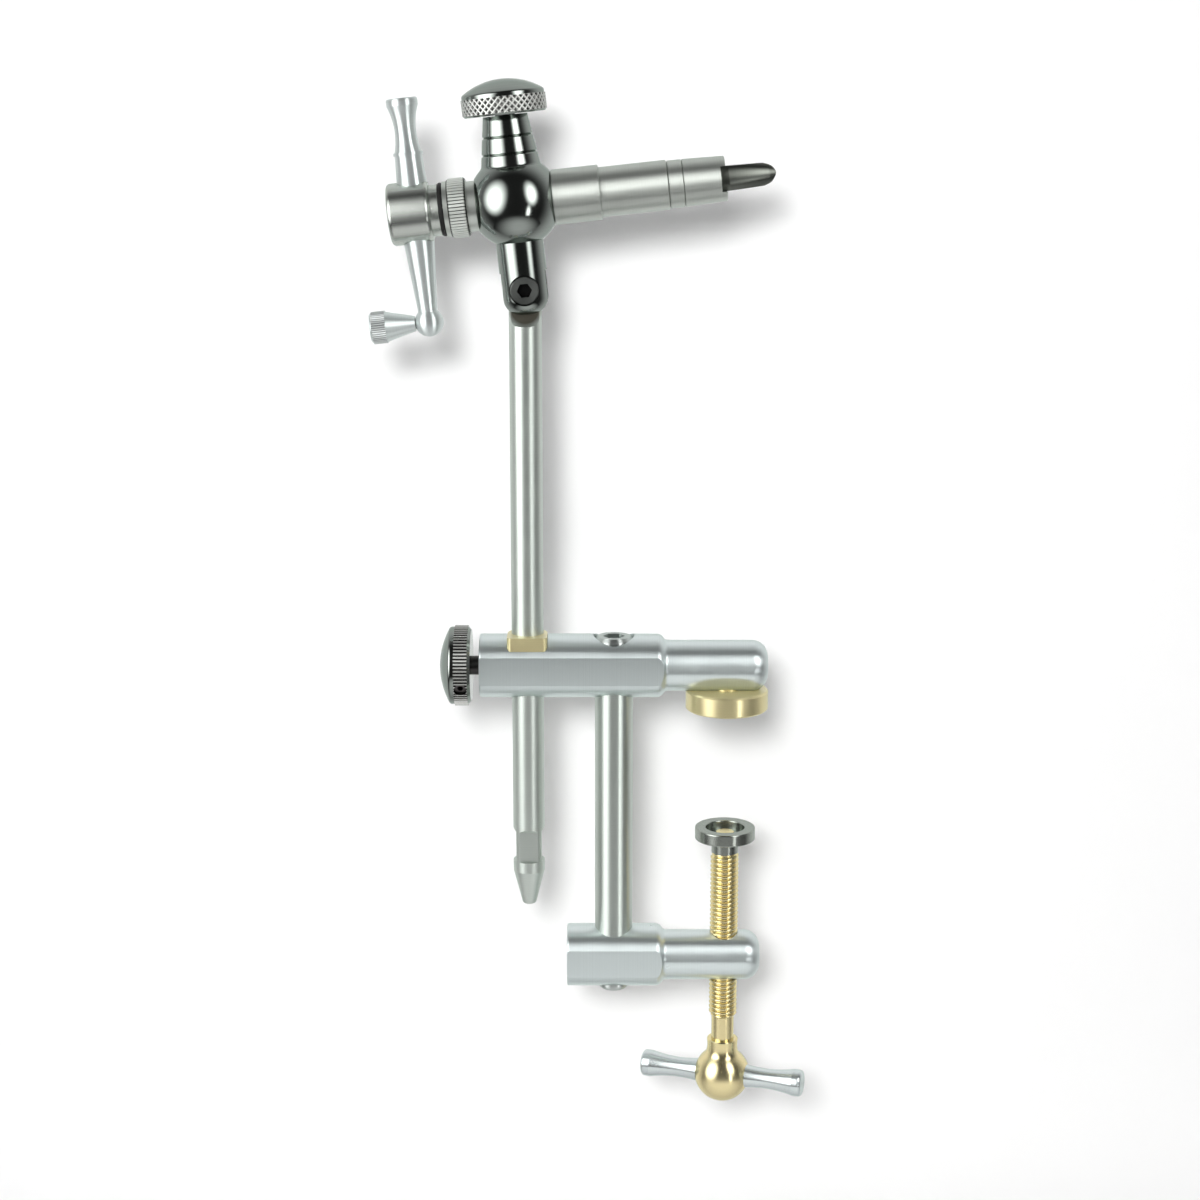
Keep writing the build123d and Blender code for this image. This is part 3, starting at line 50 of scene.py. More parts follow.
def turned_metal(name, colour, roughness, axis, centre, rings, depth, grain=1.0, satin=0.0):
    """Bare turned metal: fine tool rings round an axis, a reflection drawn out along it, and faint
    patches. The satin share is the part of the light that a matt skin scatters evenly."""
    material = bpy.data.materials.new(name)
    material.use_nodes = True
    nodes = material.node_tree.nodes
    links = material.node_tree.links
    shader = nodes["Principled BSDF"]
    shader.inputs["Metallic"].default_value = 1.0 - satin
    shader.inputs["Specular Tint"].default_value = edge_tint
    shader.inputs["Anisotropic"].default_value = grain
    place = nodes.new("ShaderNodeTexCoord")
    from_centre = nodes.new("ShaderNodeVectorMath")
    from_centre.operation = "SUBTRACT"
    from_centre.inputs[1].default_value = centre
    links.new(place.outputs["Object"], from_centre.inputs[0])
    along = nodes.new("ShaderNodeVectorMath")
    along.name = "along"
    along.operation = "DOT_PRODUCT"
    along.inputs[1].default_value = axis
    links.new(from_centre.outputs["Vector"], along.inputs[0])
    # Direction of the grain: along the axis on the sides, outwards on the end faces
    axial = nodes.new("ShaderNodeVectorMath")
    axial.operation = "PROJECT"
    axial.inputs[1].default_value = axis
    links.new(from_centre.outputs["Vector"], axial.inputs[0])
    outwards = nodes.new("ShaderNodeVectorMath")
    outwards.name = "outwards"
    outwards.operation = "SUBTRACT"
    links.new(from_centre.outputs["Vector"], outwards.inputs[0])
    links.new(axial.outputs["Vector"], outwards.inputs[1])
    lean = nodes.new("ShaderNodeVectorMath")
    lean.operation = "MULTIPLY_ADD"
    lean.inputs[1].default_value = (grain_lean, grain_lean, grain_lean)
    lean.inputs[2].default_value = axis
    links.new(outwards.outputs["Vector"], lean.inputs[0])
    as_placed = nodes.new("ShaderNodeVectorTransform")
    as_placed.vector_type = "VECTOR"
    as_placed.convert_from = "OBJECT"
    as_placed.convert_to = "WORLD"
    links.new(lean.outputs["Vector"], as_placed.inputs["Vector"])
    links.new(as_placed.outputs["Vector"], shader.inputs["Tangent"])
    # Rings left by the tool, in the relief and a little in the tone
    cuts = nodes.new("ShaderNodeTexNoise")
    cuts.noise_dimensions = "1D"
    cuts.inputs["Scale"].default_value = rings
    cuts.inputs["Detail"].default_value = 3.0
    links.new(along.outputs["Value"], cuts.inputs["W"])
    bump = nodes.new("ShaderNodeBump")
    bump.inputs["Strength"].default_value = 0.6
    bump.inputs["Distance"].default_value = depth
    links.new(cuts.outputs[0], bump.inputs["Height"])
    links.new(bump.outputs["Normal"], shader.inputs["Normal"])
    tone = nodes.new("ShaderNodeMix")
    tone.data_type = "RGBA"
    tone.inputs[6].default_value = (*[ring_shade * part for part in colour], 1.0)
    tone.inputs[7].default_value = (*colour, 1.0)
    links.new(cuts.outputs[0], tone.inputs[0])
    links.new(tone.outputs[2], shader.inputs["Base Color"])
    # Patches from handling, in the gloss
    patches = nodes.new("ShaderNodeTexNoise")
    patches.inputs["Scale"].default_value = 160.0
    patches.inputs["Detail"].default_value = 1.0
    links.new(place.outputs["Object"], patches.inputs["Vector"])
    gloss = nodes.new("ShaderNodeMapRange")
    gloss.name = "gloss"
    gloss.inputs["To Min"].default_value = roughness * (1.0 - patch_share)
    gloss.inputs["To Max"].default_value = roughness * (1.0 + patch_share)
    links.new(patches.outputs[0], gloss.inputs["Value"])
    links.new(gloss.outputs["Result"], shader.inputs["Roughness"])
    return material


def give(material, *node_names):
    """Put one material on the whole of each named CAD node."""
    for node_name in node_names:
        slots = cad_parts[node_name].material_slots
        for slot in slots:
            slot.material = material


arm_colour = (0.72, 0.79, 0.785)


def arm_finish(name, centre):
    """Polished aluminium with a rougher milled flat where the bar is cut back on the near side."""
    material = turned_metal(
        name,
        arm_colour,
        roughness=0.30,
        axis=along_x,
        centre=centre,
        rings=2600.0,
        depth=0.000004,
        grain=0.9,
        satin=0.15,
    )
    nodes = material.node_tree.nodes
    links = material.node_tree.links
    place = nodes.new("ShaderNodeTexCoord")
    split = nodes.new("ShaderNodeSeparateXYZ")
    links.new(place.outputs["Object"], split.inputs["Vector"])
    on_flat = nodes.new("ShaderNodeMath")
    on_flat.operation = "LESS_THAN"
    on_flat.inputs[1].default_value = milled_from_y
    links.new(split.outputs["Y"], on_flat.inputs[0])
    lines = nodes.new("ShaderNodeTexNoise")
    lines.noise_dimensions = "1D"
    lines.inputs["Scale"].default_value = 5200.0
    lines.inputs["Detail"].default_value = 2.0
    links.new(split.outputs["Z"], lines.inputs["W"])
    milled = nodes.new("ShaderNodeMapRange")
    milled.inputs["To Min"].default_value = 0.30
    milled.inputs["To Max"].default_value = 0.42
    links.new(lines.outputs[0], milled.inputs["Value"])
    either = nodes.new("ShaderNodeMix")
    links.new(on_flat.outputs["Value"], either.inputs[0])
    links.new(nodes["gloss"].outputs["Result"], either.inputs[2])
    links.new(milled.outputs["Result"], either.inputs[3])
    links.new(either.outputs[0], nodes["Principled BSDF"].inputs["Roughness"])
    return material


upper_arm_axis = (0.0, 0.0, 0.0140)
lower_arm_axis = (0.0, 0.0, -0.0826)
give(arm_finish("upper_arm_aluminium", upper_arm_axis), "upper_arm")
give(arm_finish("lower_arm_aluminium", lower_arm_axis), "lower_arm")

# Clamp post and its two screws
# Ground steel rod with a warm satin nickel finish, drawn into each arm by a bright steel screw.
clamp_post_foot = (-0.0356, 0.0, 0.0)
post_colour = (0.60, 0.65, 0.605)
clamp_post_metal = turned_metal(
    "clamp_post_steel",
    post_colour,
    roughness=0.38,
    axis=upright,
    centre=clamp_post_foot,
    rings=3000.0,
    depth=0.000003,
    satin=0.15,
)
give(clamp_post_metal, "clamp_post")
screw_metal = turned_metal(
    "screw_steel",
    (0.62, 0.66, 0.64),
    roughness=0.30,
    axis=upright,
    centre=clamp_post_foot,
    rings=4000.0,
    depth=0.000003,
)
give(screw_metal, "upper_arm_screw", "lower_arm_screw")

# Fixed pad and post bush
# Turned brass: a disc pressed in under the nose of the upper arm, and a block let into the arm
# round the main post.
brass_colour = (0.80, 0.71, 0.40)
brass = turned_metal(
    "turned_brass",
    brass_colour,
    roughness=0.30,
    axis=upright,
    centre=(0.0, 0.0, 0.0),
    rings=3600.0,
    depth=0.000004,
    grain=0.7,
)
# Faces cut square across by the tool are duller than the sides
brass_nodes = brass.node_tree.nodes
brass_links = brass.node_tree.links
brass_facing = brass_nodes.new("ShaderNodeTexCoord")
brass_split = brass_nodes.new("ShaderNodeSeparateXYZ")
brass_links.new(brass_facing.outputs["Normal"], brass_split.inputs["Vector"])
brass_faced = brass_nodes.new("ShaderNodeMapRange")
brass_faced.inputs["From Min"].default_value = 0.7
brass_faced.inputs["From Max"].default_value = 0.95
brass_faced.inputs["To Min"].default_value = 0.74
brass_faced.inputs["To Max"].default_value = 0.30
brass_links.new(brass_split.outputs["Z"], brass_faced.inputs["Value"])
brass_links.new(brass_faced.outputs["Result"], brass_nodes["Principled BSDF"].inputs["Metallic"])
give(brass, "fixed_pad", "post_bush")

# Clamp screw
# One brass turning: riveted end, 9 mm thread of 1.5 mm pitch, plain neck and a pear shaped bulb.
# The thread is cut as a real helix here, so the mesh stands for the plain CAD screw.
screw_brass = turned_metal(
    "screw_brass",
    (0.88, 0.76, 0.43),
    roughness=0.23,
    axis=upright,
    centre=(0.0, 0.0, 0.0),
    rings=3600.0,
    depth=0.000004,
    grain=0.8,
    satin=0.08,
)
rivet_top = -0.04085
rivet_foot = -0.04205
rivet_radius = 0.0030
rivet_shank_radius = 0.0020
rivet_edge = 0.0002
rivet_face_radius = rivet_radius * 0.93
rivet_middle_radius = rivet_shank_radius * 0.9
thread_top = -0.04765
thread_end = -0.10345
thread_radius = 0.0045
thread_depth = 0.00078
thread_pitch = 0.0015
thread_runout = 0.0009
thread_turn_rows = 16
thread_crest_rise = 1.5
thread_flank_slope = 3.2
neck_radius = 0.00365
bulb_top = -0.11145
bulb_shoulder_radius = 0.0050
bulb_centre = -0.12395
bulb_radius = 0.0090
flare_radius = 0.0060
flare_lead_in = 0.0020
flare_lead_out = 0.0022
shoulder_edge = 0.0003
bulb_steps = 40
flare_steps = 12


def turned_mesh(name, rings, columns, place, material, sharp_angle, thread=None, bored=False):
    """A closed turning: each ring is a function from angle to (radius, height), pole to pole.
    In a thread, given as first ring, last ring and rings per turn, each ring runs on into a later
    one. A bored turning has no poles; its last ring goes back through the bore to the first."""
    verts = []
    for ring in rings:
        for column in range(columns):
            angle = 2 * math.pi * column / columns
            radius, height = ring(angle)
            verts.append(place(radius * math.cos(angle), radius * math.sin(angle), height))
    runs_on = list(range(len(rings)))
    if thread:
        first, last, turn_rows = thread
        for row in range(first, last + 1):
            runs_on[row] = min(row + turn_rows, last)
    faces = []
    for row in range(len(rings) - 1):
        low = row * columns
        for column in range(columns - 1):
            corner = low + column
            faces.append((corner, corner + 1, corner + columns + 1, corner + columns))
        ends = (low + columns - 1, runs_on[row] * columns)
        faces.append((*ends, runs_on[row + 1] * columns, low + 2 * columns - 1))
    top = (len(rings) - 1) * columns
    pole = len(verts)
    if not bored:
        verts.append(place(0.0, 0.0, rings[0](0.0)[1]))
        verts.append(place(0.0, 0.0, rings[-1](0.0)[1]))
    for column in range(columns):
        beside = (column + 1) % columns
        if bored:
            faces.append((top + column, top + beside, beside, column))
        else:
            faces.append((pole, beside, column))
            faces.append((pole + 1, top + column, top + beside))
    mesh = bpy.data.meshes.new(name)
    mesh.from_pydata(verts, [], faces)
    mesh.validate()
    mesh.shade_smooth()
    mesh.set_sharp_from_angle(angle=math.radians(sharp_angle))
    mesh.materials.append(material)
    piece = bpy.data.objects.new(name, mesh)
    bpy.context.scene.collection.objects.link(piece)
    return piece


def plain_ring(radius, height):
    """A ring of one radius all round."""
    return lambda angle: (radius, height)


def thread_ring(row):
    """A ring that climbs one pitch as it goes round; the thread runs out at both ends."""
    share = row % thread_turn_rows / thread_turn_rows
    ridge = min(1.0, max(0.0, thread_crest_rise - thread_flank_slope * abs(share - 0.5)))

    def across(angle):
        climb = row / thread_turn_rows - 1 + angle / (2 * math.pi)
        height = max(thread_end, min(thread_top, thread_end + thread_pitch * climb))
        full = min(1.0, min(thread_top - height, height - thread_end) / thread_runout)
        return thread_radius - thread_depth + thread_depth * ridge * full, height

    return across


# From the foot of the bulb up to its flare
screw_rings = []
flare_turn = math.asin(flare_radius / bulb_radius)
for step in range(1, bulb_steps):
    turn = math.pi - (math.pi - flare_turn) * step / bulb_steps
    height = bulb_centre + bulb_radius * math.cos(turn)
    screw_rings.append(plain_ring(bulb_radius * math.sin(turn), height))
flare_height = bulb_centre + math.sqrt(bulb_radius**2 - flare_radius**2)
flare_slope = Vector((flare_height - bulb_centre, -flare_radius)).normalized()
flare_points = [
    Vector((flare_radius, flare_height)),
    Vector((flare_radius, flare_height)) - flare_slope * flare_lead_in,
    Vector((bulb_shoulder_radius, bulb_top - flare_lead_out)),
    Vector((bulb_shoulder_radius, bulb_top - shoulder_edge)),
]
for step in range(flare_steps + 1):
    t = step / flare_steps
    weights = ((1 - t) ** 3, 3 * t * (1 - t) ** 2, 3 * t**2 * (1 - t), t**3)
    at = sum((weight * point for weight, point in zip(weights, flare_points)), Vector((0, 0)))
    screw_rings.append(plain_ring(at.x, at.y))
screw_rings.append(plain_ring(bulb_shoulder_radius - shoulder_edge, bulb_top))
screw_rings.append(plain_ring(neck_radius, bulb_top))
screw_rings.append(plain_ring(neck_radius, thread_end))
# Thread, then the shank in the pad and the riveted end
thread_first = len(screw_rings)
thread_rows = thread_turn_rows * math.ceil((thread_top - thread_end) / thread_pitch + 1)
for row in range(thread_rows + 1):
    screw_rings.append(thread_ring(row))
thread_last = len(screw_rings) - 1
screw_rings.append(plain_ring(rivet_shank_radius, thread_top))
screw_rings.append(plain_ring(rivet_shank_radius, rivet_foot))
screw_rings.append(plain_ring(rivet_radius, rivet_foot))
screw_rings.append(plain_ring(rivet_radius, rivet_top - rivet_edge))
screw_rings.append(plain_ring(rivet_face_radius, rivet_top))
screw_rings.append(plain_ring(rivet_middle_radius, rivet_top))
clamp_screw = turned_mesh(
    "clamp_screw_threaded",
    screw_rings,
    columns=80,
    place=lambda x, y, z: (x, y, z),
    material=screw_brass,
    sharp_angle=40.0,
    thread=(thread_first, thread_last, thread_turn_rows),
)
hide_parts("clamp_screw")
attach(clamp_screw, "clamp_screw")

# Swivel pad
# Oil blacked steel cup, turned, free to swivel on the riveted end of the screw.
dark_steel = turned_metal(
    "blacked_steel",
    (0.38, 0.405, 0.37),
    roughness=0.22,
    axis=upright,
    centre=(0.0, 0.0, 0.0),
    rings=3000.0,
    depth=0.000003,
    grain=0.8,
    satin=0.06,
)
give(dark_steel, "swivel_pad")

# Clamp handles
# Two aluminium handles turned on a lathe and left satin, screwed into the bulb from either side.
handle_turn = math.radians(-18.0)
handle_axis = (math.cos(handle_turn), math.sin(handle_turn), 0.0)
handle_metal = turned_metal(
    "handle_aluminium",
    (0.715, 0.775, 0.775),
    roughness=0.22,
    axis=handle_axis,
    centre=(0.0, 0.0, bulb_centre),
    rings=3000.0,
    depth=0.000005,
    satin=0.12,
)
give(handle_metal, "handle_left", "handle_right")

# Main post
# Ground steel rod with the same satin nickel as the clamp post, milled to a tongue at the top.
main_post_foot = (-0.0627, 0.0, 0.0)
main_post_metal = turned_metal(
    "main_post_steel",
    post_colour,
    roughness=0.40,
    axis=upright,
    centre=main_post_foot,
    rings=3000.0,
    depth=0.000003,
    grain=0.6,
    satin=0.15,
)
# Painted shade and old oil: the run-out of the tongue, close under the head, is painted dark brown
oil_shade_half_width = 0.0050
oil_shade_half_height = 0.0046
oil_shade_top = 0.1252
oil_shade_nodes = main_post_metal.node_tree.nodes
oil_shade_links = main_post_metal.node_tree.links
oil_shade_shader = oil_shade_nodes["Principled BSDF"]
oil_shade_place = oil_shade_nodes.new("ShaderNodeTexCoord")
oil_shade_reach = oil_shade_nodes.new("ShaderNodeVectorMath")
oil_shade_reach.operation = "MULTIPLY_ADD"
oil_shade_reach.inputs[1].default_value = (1.0 / oil_shade_half_width, 0.0, 1.0 / oil_shade_half_height)
oil_shade_reach.inputs[2].default_value = (
    -main_post_foot[0] / oil_shade_half_width,
    0.0,
    -oil_shade_top / oil_shade_half_height,
)
oil_shade_links.new(oil_shade_place.outputs["Object"], oil_shade_reach.inputs[0])
oil_shade_spread = oil_shade_nodes.new("ShaderNodeVectorMath")
oil_shade_spread.operation = "LENGTH"
oil_shade_links.new(oil_shade_reach.outputs["Vector"], oil_shade_spread.inputs[0])
oil_shade_share = oil_shade_nodes.new("ShaderNodeMapRange")
oil_shade_share.inputs["From Min"].default_value = 1.05
oil_shade_share.inputs["From Max"].default_value = 0.80
oil_shade_share.inputs["To Max"].default_value = 0.85
oil_shade_links.new(oil_shade_spread.outputs["Value"], oil_shade_share.inputs["Value"])
oil_shade_tone = oil_shade_nodes.new("ShaderNodeMix")
oil_shade_tone.data_type = "RGBA"
oil_shade_tone.inputs[7].default_value = (0.10, 0.08, 0.05, 1.0)
oil_shade_links.new(oil_shade_share.outputs["Result"], oil_shade_tone.inputs[0])
oil_shade_links.new(oil_shade_shader.inputs["Base Color"].links[0].from_socket, oil_shade_tone.inputs[6])
oil_shade_links.new(oil_shade_tone.outputs[2], oil_shade_shader.inputs["Base Color"])
give(main_post_metal, "main_post")

# Post lock
# Brass plug and black stud inside the arm, and a nickelled knob with a straight knurl on the stud.
give(brass, "lock_plug")
lock_centre = (-0.0840, 0.0, 0.0140)
stud_metal = turned_metal(
    "blacked_stud",
    (0.13, 0.12, 0.12),
    roughness=0.36,
    axis=along_x,
    centre=lock_centre,
    rings=1400.0,
    depth=0.00005,
)
give(stud_metal, "lock_screw", "lock_knob_grub")
nickel_colour = (0.285, 0.31, 0.29)
# Knurl colours: painted shade at the foot of the ridges, and crests painted light, partly wear and
# partly a painted highlight
knurl_painted_shade = (0.015, 0.015, 0.015)
knurl_wear_and_sheen = (0.66, 0.67, 0.64)
wear_dulling = 0.4


def knurl_shade_and_wear(material, start, end, root, crest, foot_colour, crest_colour):
    """Along a knurled band, painted shade at the foot of the ridges, and crests painted light,
    partly wear and partly a painted highlight.
    """
    nodes = material.node_tree.nodes
    links = material.node_tree.links
    shader = nodes["Principled BSDF"]
    reach = nodes.new("ShaderNodeVectorMath")
    reach.operation = "LENGTH"
    links.new(nodes["outwards"].outputs["Vector"], reach.inputs[0])
    rise = nodes.new("ShaderNodeMapRange")
    rise.inputs["From Min"].default_value = root
    rise.inputs["From Max"].default_value = crest
    links.new(reach.outputs["Value"], rise.inputs["Value"])
    in_band = nodes.new("ShaderNodeMath")
    in_band.operation = "COMPARE"
    in_band.inputs[1].default_value = (start + end) / 2
    in_band.inputs[2].default_value = abs(end - start) / 2
    links.new(nodes["along"].outputs["Value"], in_band.inputs[0])
    ridge = nodes.new("ShaderNodeMix")
    ridge.data_type = "RGBA"
    ridge.inputs[6].default_value = (*foot_colour, 1.0)
    ridge.inputs[7].default_value = (*crest_colour, 1.0)
    links.new(rise.outputs["Result"], ridge.inputs[0])
    either = nodes.new("ShaderNodeMix")
    either.data_type = "RGBA"
    links.new(in_band.outputs["Value"], either.inputs[0])
    links.new(shader.inputs["Base Color"].links[0].from_socket, either.inputs[6])
    links.new(ridge.outputs[2], either.inputs[7])
    links.new(either.outputs[2], shader.inputs["Base Color"])
    wear = nodes.new("ShaderNodeMath")
    wear.operation = "MULTIPLY"
    links.new(rise.outputs["Result"], wear.inputs[0])
    links.new(in_band.outputs["Value"], wear.inputs[1])
    bare = nodes.new("ShaderNodeMath")
    bare.operation = "MULTIPLY_ADD"
    bare.inputs[1].default_value = -wear_dulling
    bare.inputs[2].default_value = shader.inputs["Metallic"].default_value
    links.new(wear.outputs["Value"], bare.inputs[0])
    links.new(bare.outputs["Value"], shader.inputs["Metallic"])


knob_nickel = turned_metal(
    "nickel_knob",
    nickel_colour,
    roughness=0.13,
    axis=along_x,
    centre=lock_centre,
    rings=2400.0,
    depth=0.000002,
    grain=0.2,
)
lock_knurl_back = -0.0015
lock_knurl_front = 0.0027
lock_knurl_foot = 0.0123
lock_knurl_crest = 0.0125
# Painted shade at the foot of the knurl; its crests painted light, partly wear and partly a
# painted highlight
knurl_shade_and_wear(
    knob_nickel,
    lock_knurl_back,
    lock_knurl_front,
    lock_knurl_foot,
    lock_knurl_crest,
    knurl_painted_shade,
    knurl_wear_and_sheen,
)
give(knob_nickel, "lock_knob")

# Head body
# One steel turning, slotted stem, ball and waisted neck, polished and plated in dark nickel.
head_tilt = math.radians(6.2)
spindle_dir = Vector((math.cos(head_tilt), 0.0, math.sin(head_tilt)))
neck_dir = Vector((-math.sin(head_tilt), 0.0, math.cos(head_tilt)))
pivot_centre = Vector((-0.0627, 0.0, 0.1315))
ball_height = 0.0263
ball_centre = pivot_centre + neck_dir * ball_height
head_nickel = turned_metal(
    "nickel_head",
    nickel_colour,
    roughness=0.12,
    axis=tuple(neck_dir),
    centre=tuple(ball_centre),
    rings=2400.0,
    depth=0.000001,
    grain=0.0,
)
give(head_nickel, "head_body")
pivot_metal = turned_metal(
    "pivot_steel",
    (0.17, 0.18, 0.17),
    roughness=0.42,
    axis=(0.0, 1.0, 0.0),
    centre=tuple(pivot_centre),
    rings=3000.0,
    depth=0.000003,
    grain=0.2,
)
give(pivot_metal, "pivot_screw")
# Painted shade in the hexagon socket: below the face of the head it is painted near black
socket_mouth_y = -0.0062
socket_dark_y = -0.0057
socket_nodes = pivot_metal.node_tree.nodes
socket_links = pivot_metal.node_tree.links
socket_place = socket_nodes.new("ShaderNodeTexCoord")
socket_split = socket_nodes.new("ShaderNodeSeparateXYZ")
socket_links.new(socket_place.outputs["Object"], socket_split.inputs["Vector"])
socket_depth = socket_nodes.new("ShaderNodeMapRange")
socket_depth.inputs["From Min"].default_value = socket_mouth_y
socket_depth.inputs["From Max"].default_value = socket_dark_y
socket_links.new(socket_split.outputs["Y"], socket_depth.inputs["Value"])
socket_shade_tone = socket_nodes.new("ShaderNodeMix")
socket_shade_tone.data_type = "RGBA"
socket_shade_tone.inputs[7].default_value = (0.015, 0.015, 0.015, 1.0)
socket_links.new(socket_depth.outputs["Result"], socket_shade_tone.inputs[0])
unshaded_metal = socket_nodes["Principled BSDF"].inputs["Base Color"].links[0].from_socket
socket_links.new(unshaded_metal, socket_shade_tone.inputs[6])
socket_links.new(socket_shade_tone.outputs[2], socket_nodes["Principled BSDF"].inputs["Base Color"])

# Spindle bearings, brake plug and stud
# Bronze bushes and a brass plug inside the ball; the stud shows only as a ring under the knob.
bronze = turned_metal(
    "bearing_bronze",
    (0.55, 0.36, 0.20),
    roughness=0.30,
    axis=tuple(spindle_dir),
    centre=tuple(ball_centre),
    rings=3000.0,
    depth=0.000004,
)
give(bronze, "front_bearing", "rear_bearing")
give(brass, "brake_plug")
give(stud_metal, "brake_screw")

# Brake knob
# Domed knob on top of the neck, nickelled like the head, its rim rolled with a diamond knurl.
# The crossed ridges are real geometry here, so the mesh stands for the plain CAD knob.
knob_base = 0.0257
knob_band_top = 0.0322
knob_top = 0.0362
knob_radius = 0.0127
knob_edge = 0.0006
knob_land = 0.0012
knob_land_radius = 0.0124
knob_round = 0.0010
knob_bore = 0.0030
knob_bore_top = 0.0330
knurl_lines = 40
knurl_depth = 0.00050
knurl_start = 0.0001
knurl_crest_width = 1.15
knurl_sharpness = 1.3
knurl_line_columns = 14
knurl_rows = 44
round_steps = 8
crown_steps = 24


def knurl_ring(height):
    """A ring across the knurl: two families of ridges cross at forty five degrees."""
    wound = knurl_lines * (height - knob_base) / (2 * math.pi * knob_radius)

    def across(angle):
        turned = knurl_lines * angle / (2 * math.pi)
        rising = abs(2.0 * ((turned + wound) % 1.0) - 1.0)
        falling = abs(2.0 * ((turned - wound) % 1.0) - 1.0)
        ridge = min(1.0, knurl_crest_width * max(rising, falling)) ** knurl_sharpness
        return knob_radius - knurl_depth * (1.0 - ridge), height

    return across


def on_head(x, y, z):
    """A point given across and up the neck, in the model's own directions."""
    return tuple(ball_centre + spindle_dir * x + Vector((0.0, y, 0.0)) + neck_dir * z)


knob_rings = [
    plain_ring(knob_bore / 2, knob_bore_top),
    plain_ring(knob_bore, knob_bore_top),
    plain_ring(knob_bore, knob_base),
    plain_ring(knob_radius - knob_edge, knob_base),
    plain_ring(knob_radius - knurl_start, knob_base + knob_edge),
]
knurl_foot = knob_base + knob_edge
knurl_head = knob_band_top - knob_land
for step in range(knurl_rows + 1):
    knob_rings.append(knurl_ring(knurl_foot + (knurl_head - knurl_foot) * step / knurl_rows))
# Plain land above the knurl, rounded over into the crown
crown_height = knob_top - knob_band_top
crown_radius = knob_land_radius**2 / (2 * crown_height) + crown_height / 2
crown_centre = knob_top - crown_radius
round_radius = knob_land_radius - knob_round
round_height = crown_centre + math.sqrt((crown_radius - knob_round) ** 2 - round_radius**2)
crown_turn = math.asin(round_radius / (crown_radius - knob_round))
knob_rings.append(plain_ring(knob_land_radius, knurl_head))
for step in range(round_steps + 1):
    turn = math.pi / 2 + (crown_turn - math.pi / 2) * step / round_steps
    height = round_height + knob_round * math.cos(turn)
    knob_rings.append(plain_ring(round_radius + knob_round * math.sin(turn), height))
for step in range(1, crown_steps):
    turn = crown_turn * (1 - step / crown_steps)
    height = crown_centre + crown_radius * math.cos(turn)
    knob_rings.append(plain_ring(crown_radius * math.sin(turn), height))
brake_nickel = turned_metal(
    "nickel_brake_knob",
    nickel_colour,
    roughness=0.12,
    axis=tuple(neck_dir),
    centre=tuple(ball_centre),
    rings=2400.0,
    depth=0.000001,
    grain=0.0,
)
# Painted shade at the foot of the knurl; its crests painted light, partly wear and partly a
# painted highlight
knurl_shade_and_wear(
    brake_nickel,
    knurl_foot,
    knurl_head,
    knob_radius - knurl_depth,
    knob_radius,
    knurl_painted_shade,
    knurl_wear_and_sheen,
)
brake_knob = turned_mesh(
    "brake_knob_knurled",
    knob_rings,
    columns=knurl_lines * knurl_line_columns,
    place=on_head,
    material=brake_nickel,
    sharp_angle=32.0,
)
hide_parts("brake_knob")
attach(brake_knob, "brake_knob")

# Spindle
# Stepped steel sleeve, turned and left satin, with fine feed marks round it.
spindle_metal = turned_metal(
    "spindle_steel",
    (0.56, 0.59, 0.55),
    roughness=0.40,
    axis=tuple(spindle_dir),
    centre=tuple(ball_centre),
    rings=2600.0,
    depth=0.000006,
    satin=0.15,
)
give(spindle_metal, "spindle")

# Adjusting collar and rear hub
# Fine turned steel on the spindle's tail. The collar's straight knurl, flat lands between narrow
# grooves, is real geometry here, so the mesh stands for the CAD collar.
hub_metal = turned_metal(
    "hub_steel",
    (0.57, 0.60, 0.56),
    roughness=0.24,
    axis=tuple(spindle_dir),
    centre=tuple(ball_centre),
    rings=3200.0,
    depth=0.000004,
    satin=0.06,
)
give(hub_metal, "rear_hub")
collar_back = -0.0212
collar_knurl_back = -0.0199
collar_knurl_front = -0.0142
collar_front = -0.0115
collar_bore = 0.00525
collar_flange_radius = 0.0082
collar_neck_radius = 0.0075
collar_radius = 0.0089
collar_edge = 0.0006
collar_grooves = 54
collar_groove_depth = 0.00035
collar_groove_share = 0.18
collar_groove_columns = 12


def grooved_ring(radius, height):
    """A ring across the straight knurl: flat lands between narrow grooves."""

    def across(angle):
        share = collar_grooves * angle / (2 * math.pi) % 1.0
        groove = max(0.0, 1.0 - abs(share - 0.5) / collar_groove_share)
        return min(radius, collar_radius - collar_groove_depth * groove), height

    return across


def on_spindle(x, y, z):
    """A point given across and along the spindle, in the model's own directions."""
    return tuple(ball_centre + Vector((0.0, x, 0.0)) + neck_dir * y + spindle_dir * z)


collar_rings = [
    plain_ring(collar_bore, collar_back),
    plain_ring(collar_flange_radius, collar_back),
    plain_ring(collar_flange_radius, collar_knurl_back),
    grooved_ring(collar_radius - collar_edge, collar_knurl_back),
    grooved_ring(collar_radius, collar_knurl_back + collar_edge),
    grooved_ring(collar_radius, collar_knurl_front - collar_edge),
    grooved_ring(collar_radius - collar_edge, collar_knurl_front),
    plain_ring(collar_neck_radius, collar_knurl_front),
    plain_ring(collar_neck_radius, collar_front),
    plain_ring(collar_bore, collar_front),
]
collar_metal = turned_metal(
    "collar_steel",
    (0.57, 0.60, 0.56),
    roughness=0.34,
    axis=tuple(spindle_dir),
    centre=tuple(ball_centre),
    rings=3200.0,
    depth=0.000003,
    grain=0.3,
    satin=0.12,
)
